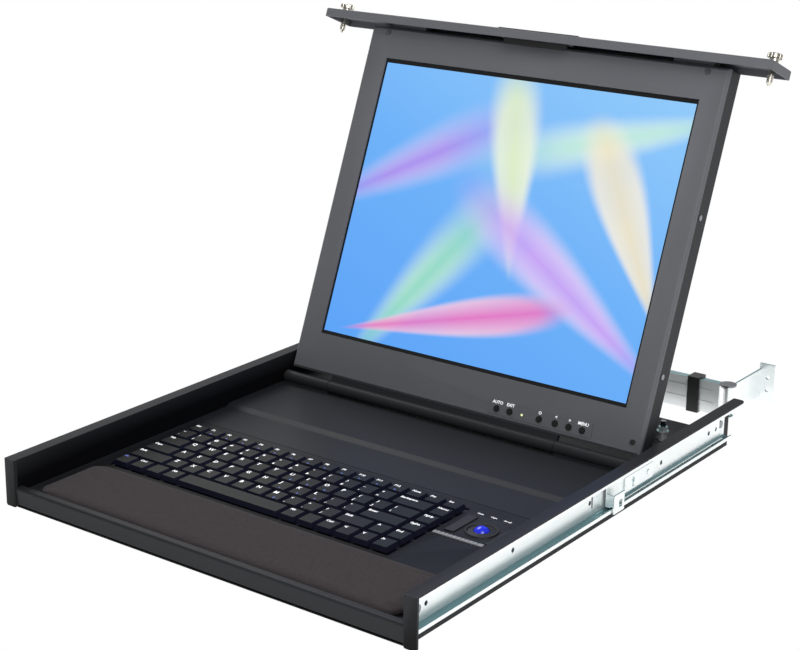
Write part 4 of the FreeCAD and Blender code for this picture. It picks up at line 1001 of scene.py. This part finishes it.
@dataclass
class Marks:
    """Generic words and lenses by the lid's buttons and the pointer's lamps, in millimetres."""

    lettering: Lettering
    lid_words: tuple[tuple[float, str], ...] = (
        (45.0, "AUTO"), (59.1, "EXIT"), (90.5, "O"), (107.4, "<"), (121.7, ">"), (135.6, "MENU"))
    lid_line: float = -25.1
    lid_lift: float = -2.85
    lid_size: float = 4.0
    lid_lens: tuple[float, float, float] = (72.6, -20.4, -3.25)
    lamp_words: tuple[tuple[float, str], ...] = ((131.4, "Num"), (144.7, "Caps"), (158.0, "Scroll"))
    lamp_line: float = -52.5
    lamp_lift: float = 0.03
    lamp_size: float = 3.0
    lens_line: float = -57.0
    lens_lift: float = 0.45
    lens_radius: float = 1.15
    lens_sides: int = 20

    def build(self, space: LidSpace, ink: bpy.types.Material, lit: bpy.types.Material,
              dark: bpy.types.Material) -> None:
        """Write the words and set the lenses.

        Args:
            space: the lid's own directions.
            ink: pale printing ink, whose glow is painted light.
            lit: material of the lit lens.
            dark: material of the unlit lenses.
        """
        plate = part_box("keyboard_plate")[1][2]
        self.words("lid_words", [(space.facing(x, self.lid_line, self.lid_lift), word)
                                 for x, word in self.lid_words], self.lid_size, "lid", Finish.FILM, ink)
        self.words("lamp_words", [(self.on_plate(x, self.lamp_line, self.lamp_lift, plate), word)
                                  for x, word in self.lamp_words], self.lamp_size, "tray",
                   Finish.BLACK_STEEL, ink)
        self.lenses("lid_lamp_lens", [space.facing(*self.lid_lens)], "lid", lit)
        self.lenses("pointer_lamp_lenses", [self.on_plate(x, self.lens_line, self.lens_lift, plate)
                                            for x, _ in self.lamp_words], "tray", dark)

    def on_plate(self, x: float, y: float, lift: float, plate: float) -> Matrix:
        """Place over the keyboard plate, whose top is at the height plate in metres."""
        return Matrix.Translation((x * MM, y * MM, plate + lift * MM))

    def words(self, name: str, places: Sequence[tuple[Matrix, str]], size: float, body: str,
              slot: Finish, ink: bpy.types.Material) -> None:
        """Add a piece of centred words.

        Args:
            name: the piece's name.
            places: where each word goes, and the word.
            size: height of the font, in millimetres.
            body: the body that it rides on.
            slot: its slot; not used.
            ink: its material.
        """
        work = bmesh.new()
        for place, word in places:
            self.lettering.write(work, word, place, size * MM, centred=True)
        add_piece(name, settle(work, name), body, ink)

    def lenses(self, name: str, places: Sequence[Matrix], body: str,
               material: bpy.types.Material) -> None:
        """Add a piece of small flat round lenses.

        Args:
            name: the piece's name.
            places: where each lens goes.
            body: the body that it rides on.
            material: what it shows.
        """
        work = bmesh.new()
        for place in places:
            bmesh.ops.create_circle(work, cap_ends=True, segments=self.lens_sides,
                                    radius=self.lens_radius * MM, matrix=place)
        add_piece(name, settle(work, name), body, material)


class Copy(Enum):
    """What a Repeat sets along its line."""

    BEAD = "bead"
    RING = "ring"


@dataclass
class Repeat:
    """A Geometry Nodes tree that sets equal beads or rings along a straight line."""

    name: str
    copy: Copy
    inputs: tuple[tuple[str, str], ...] = (("Count", "Int"), ("Start", "Vector"), ("Step", "Vector"),
                                           ("Turn", "Vector"), ("Radius", "Float"), ("Wire", "Float"))
    wire_sides: int = 8
    bead_segments: int = 20
    bead_rings: int = 12

    def tree(self, material: bpy.types.Material) -> bpy.types.NodeTree:
        """Build the tree, with named inputs for its sizes.

        Args:
            material: finish of the copies.

        Returns:
            The node tree, which ends in plain mesh with that finish.
        """
        tree = bpy.data.node_groups.new(self.name, "GeometryNodeTree")
        for label, kind in (("Geometry", "Geometry"), *self.inputs):
            tree.interface.new_socket(label, in_out="INPUT", socket_type="NodeSocket" + kind)
        tree.interface.new_socket("Geometry", in_out="OUTPUT", socket_type="NodeSocketGeometry")
        nodes = Nodes(tree, "GeometryNode")
        given = nodes.add("NodeGroupInput").node.outputs
        line = nodes.add("MeshLine", Count=given["Count"], Start_Location=given["Start"],
                         Offset=given["Step"])
        if self.copy is Copy.RING:
            path = nodes.add("CurvePrimitiveCircle", Radius=given["Radius"])
            wire = nodes.add("CurvePrimitiveCircle", Resolution=self.wire_sides, Radius=given["Wire"])
            shape = nodes.add("CurveToMesh", path, wire)
        else:
            shape = nodes.add("MeshUVSphere", Segments=self.bead_segments, Rings=self.bead_rings,
                              Radius=given["Radius"])
        turn = nodes.add("FunctionNodeEulerToRotation", given["Turn"])
        spread = nodes.add("InstanceOnPoints", Points=line, Instance=shape, Rotation=turn)
        smooth = nodes.add("SetShadeSmooth", nodes.add("RealizeInstances", spread))
        nodes.add("NodeGroupOutput", nodes.add("SetMaterial", smooth, Material=material))
        return tree

    def lay(self, runs: Sequence[dict], body: str, finish: Finish, material: bpy.types.Material) -> None:
        """Lay every run and keep them as one plain mesh on a body.

        Args:
            runs: values of the tree's named inputs, one set for each run.
            body: the body that they ride on.
            finish: their slot; not used.
            material: their finish.
        """
        tree = self.tree(material)
        keys = {item.name: item.identifier for item in tree.interface.items_tree if item.in_out == "INPUT"}
        work = bmesh.new()
        for run in runs:
            holder = new_object(self.name, bpy.data.meshes.new(self.name))
            spread = holder.modifiers.new(self.name, "NODES")
            spread.node_group = tree
            for label, value in run.items():
                spread[keys[label]] = value
            made = plain_mesh(holder)
            holder.modifiers.clear()
            work.from_mesh(made)
            bpy.data.objects.remove(holder)
            bpy.data.meshes.remove(made)
        add_piece(self.name, settle(work, self.name), body, material)


@dataclass
class Hardware:
    """Repeated fine hardware: bearing balls in the cages and thread turns on the rack studs."""

    ball_radius: float = 1.75 * MM
    ball_pitch: float = 8.0 * MM
    thread_start: float = 0.6 * MM
    thread_pitch: float = 0.8 * MM
    thread_radius: float = 2.6 * MM
    thread_wire: float = 0.22 * MM
    thread_turns: int = 8

    def build(self, frame: dict, nickel: bpy.types.Material) -> None:
        """Make the balls and the threads.

        Args:
            nickel: finish of both.
        """
        runs = []
        for low, high in islands(frame["nodes"]["ball_cages"]):
            middle = (low + high) / 2
            count = int((high.y - low.y) // self.ball_pitch)
            first = middle.y - (count - 1) * self.ball_pitch / 2
            runs.append({"Count": count, "Start": (middle.x, first, middle.z),
                         "Step": (0.0, self.ball_pitch, 0.0), "Radius": self.ball_radius})
        Repeat("bearing_balls", Copy.BEAD).lay(runs, "ball_cages", Finish.NICKEL, nickel)
        for mount in frame["record"]["mounts"]:
            side = mount["name"].removeprefix("rack_stud_")
            if side != mount["name"]:
                self.thread(mount, side, nickel)

    def thread(self, mount: dict, side: str, nickel: bpy.types.Material) -> None:
        """Ring one rack stud with its thread.

        Args:
            mount: the stud in the record.
            side: left or right.
            nickel: the thread's finish.
        """
        along = Vector(mount["axis"])
        run = {"Count": self.thread_turns, "Radius": self.thread_radius, "Wire": self.thread_wire,
               "Start": tuple(Vector(mount["pos_m"]) + along * self.thread_start),
               "Step": tuple(along * self.thread_pitch),
               "Turn": tuple(along.to_track_quat("Z", "Y").to_euler())}
        Repeat(f"stud_thread_{side}", Copy.RING).lay([run], f"thumbscrew_{side}", Finish.NICKEL, nickel)


@dataclass(frozen=True)
class Lamp:
    """One soft square lamp: where it hangs, its side in metres and its power in watts."""

    name: str
    place: tuple[float, float, float]
    size: float
    power: float


@dataclass
class Studio:
    """Pale floor, soft lamps and the camera, whose turn is in degrees."""

    place: tuple[float, float, float] = (0.90943, -1.2405, 0.63424)
    turn: tuple[float, float, float] = (72.653, -0.31, 37.626)
    lens: float = 83.27
    sensor: float = 36.0
    shift: tuple[float, float] = (0.0588, -0.02)
    lamps: tuple[Lamp, ...] = (Lamp("key", (-1.1, 0.5, 1.65), 1.0, 20.0),
                               Lamp("fill", (0.8, -0.6, 0.95), 0.7, 8.0),
                               Lamp("rim", (-1.5, 2.0, 1.1), 1.6, 5.0))
    aim: tuple[float, float, float] = (0.0, -0.01, 0.1)
    surroundings: float = 0.3
    paper: tuple[float, float, float, float] = (0.55, 0.55, 0.55, 1.0)
    paper_glow: float = 0.8
    floor_reach: float = 6.0
    floor_height: float = -0.6 * MM

    def build(self) -> None:
        """Make the whole setting."""
        scene = bpy.context.scene
        scene.view_settings.view_transform = "Standard"
        camera = new_object("camera", bpy.data.cameras.new("camera"))
        camera.location = self.place
        camera.rotation_euler = [math.radians(angle) for angle in self.turn]
        camera.data.lens = self.lens
        camera.data.sensor_width = self.sensor
        camera.data.shift_x, camera.data.shift_y = self.shift
        camera.data.clip_start = 0.05
        scene.camera = camera
        scene.world = self.world()
        self.floor()
        for lamp in self.lamps:
            self.hang(lamp)

    def world(self) -> bpy.types.World:
        """Make pale surroundings, which are white to the camera.

        Returns:
            The world.
        """
        world = bpy.data.worlds.new("studio")
        world.use_nodes = True
        nodes = Nodes(world.node_tree)
        strength = nodes.add("Mix", nodes.add("LightPath", out="Is Camera Ray"), self.surroundings, 1.0)
        nodes.add("OutputWorld", nodes.add("Background", WHITE, strength))
        return world

    def floor(self) -> None:
        """Lay a wide pale floor under the drawer, which is white to the camera."""
        reach, height = self.floor_reach, self.floor_height
        mesh = bpy.data.meshes.new("floor")
        mesh.from_pydata([(-reach, -reach, height), (reach, -reach, height), (reach, reach, height),
                          (-reach, reach, height)], [], [(0, 1, 2, 3)])
        floor = new_object("floor", mesh)
        shader = Shader("floor_paper")
        lit = shader.add("AddShader", shader.add("BsdfDiffuse", Color=self.paper),
                         shader.add("Emission", WHITE, self.paper_glow))
        shader.add("OutputMaterial", shader.add("MixShader", shader.add("LightPath", out="Is Camera Ray"),
                                                lit, shader.add("Emission", WHITE, 1.0)))
        mesh.materials.append(shader.material)

    def hang(self, lamp: Lamp) -> None:
        """Add one lamp, turned to the drawer.

        Args:
            lamp: the lamp.
        """
        data = bpy.data.lights.new(lamp.name, "AREA")
        data.size = lamp.size
        data.energy = lamp.power
        obj = new_object(lamp.name, data)
        obj.location = lamp.place
        obj.rotation_euler = (Vector(self.aim) - obj.location).to_track_quat("-Z", "Y").to_euler()


def dress_nodes(frame: dict, made: dict[Finish, bpy.types.Material]) -> None:
    """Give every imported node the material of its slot, or its own where it has one.

    Args:
        made: materials by finish.
    """
    slots = {entry["node"]: entry["material_slot"] for entry in frame["record"]["subparts"]}
    own = {"screen_glass": made[Finish.BUTTON], "lid_back": made[Finish.BLACK_STEEL],
           "main_board": Board(shells_above=6.9 * MM).build("board_with_sockets")}
    for name, obj in frame["nodes"].items():
        material = own.get(name, made[Finish(slots[name])])
        for slot in obj.material_slots:
            slot.material = material
        if not obj.material_slots:
            obj.data.materials.append(material)
        LOG.info("node %s: %s", name, material.name)


def main() -> None:
    """Load the frame, build every piece and set the studio."""
    logging.basicConfig(level=logging.INFO, format="%(message)s")
    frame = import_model()
    made = {finish: recipe.build(finish.value) for finish, recipe in FINISHES.items()}
    dress_nodes(frame, made)
    # Both legend inks glow: painted light, since print is no lamp.
    ink = Paint("f6f7f9", 0.6).build("glowing_legend_ink")
    blue = Paint("6f8cf0", 0.1).build("glowing_second_ink")
    lit = Paint("dff0b0", 0.7).build("lamp_lens")
    dark = Paint("16171c").build("dark_lens")
    lettering = Lettering()
    space = LidSpace(frame)
    Keyboard(lettering).build(frame, ink, blue)
    PalmRest().build(frame, made[Finish.CLOTH])
    Screen().build(space, made[Finish.SCREEN])
    Marks(lettering).build(space, ink, lit, dark)
    Hardware().build(frame, made[Finish.NICKEL])
    Studio().build()


if __name__ == "__main__":
    main()
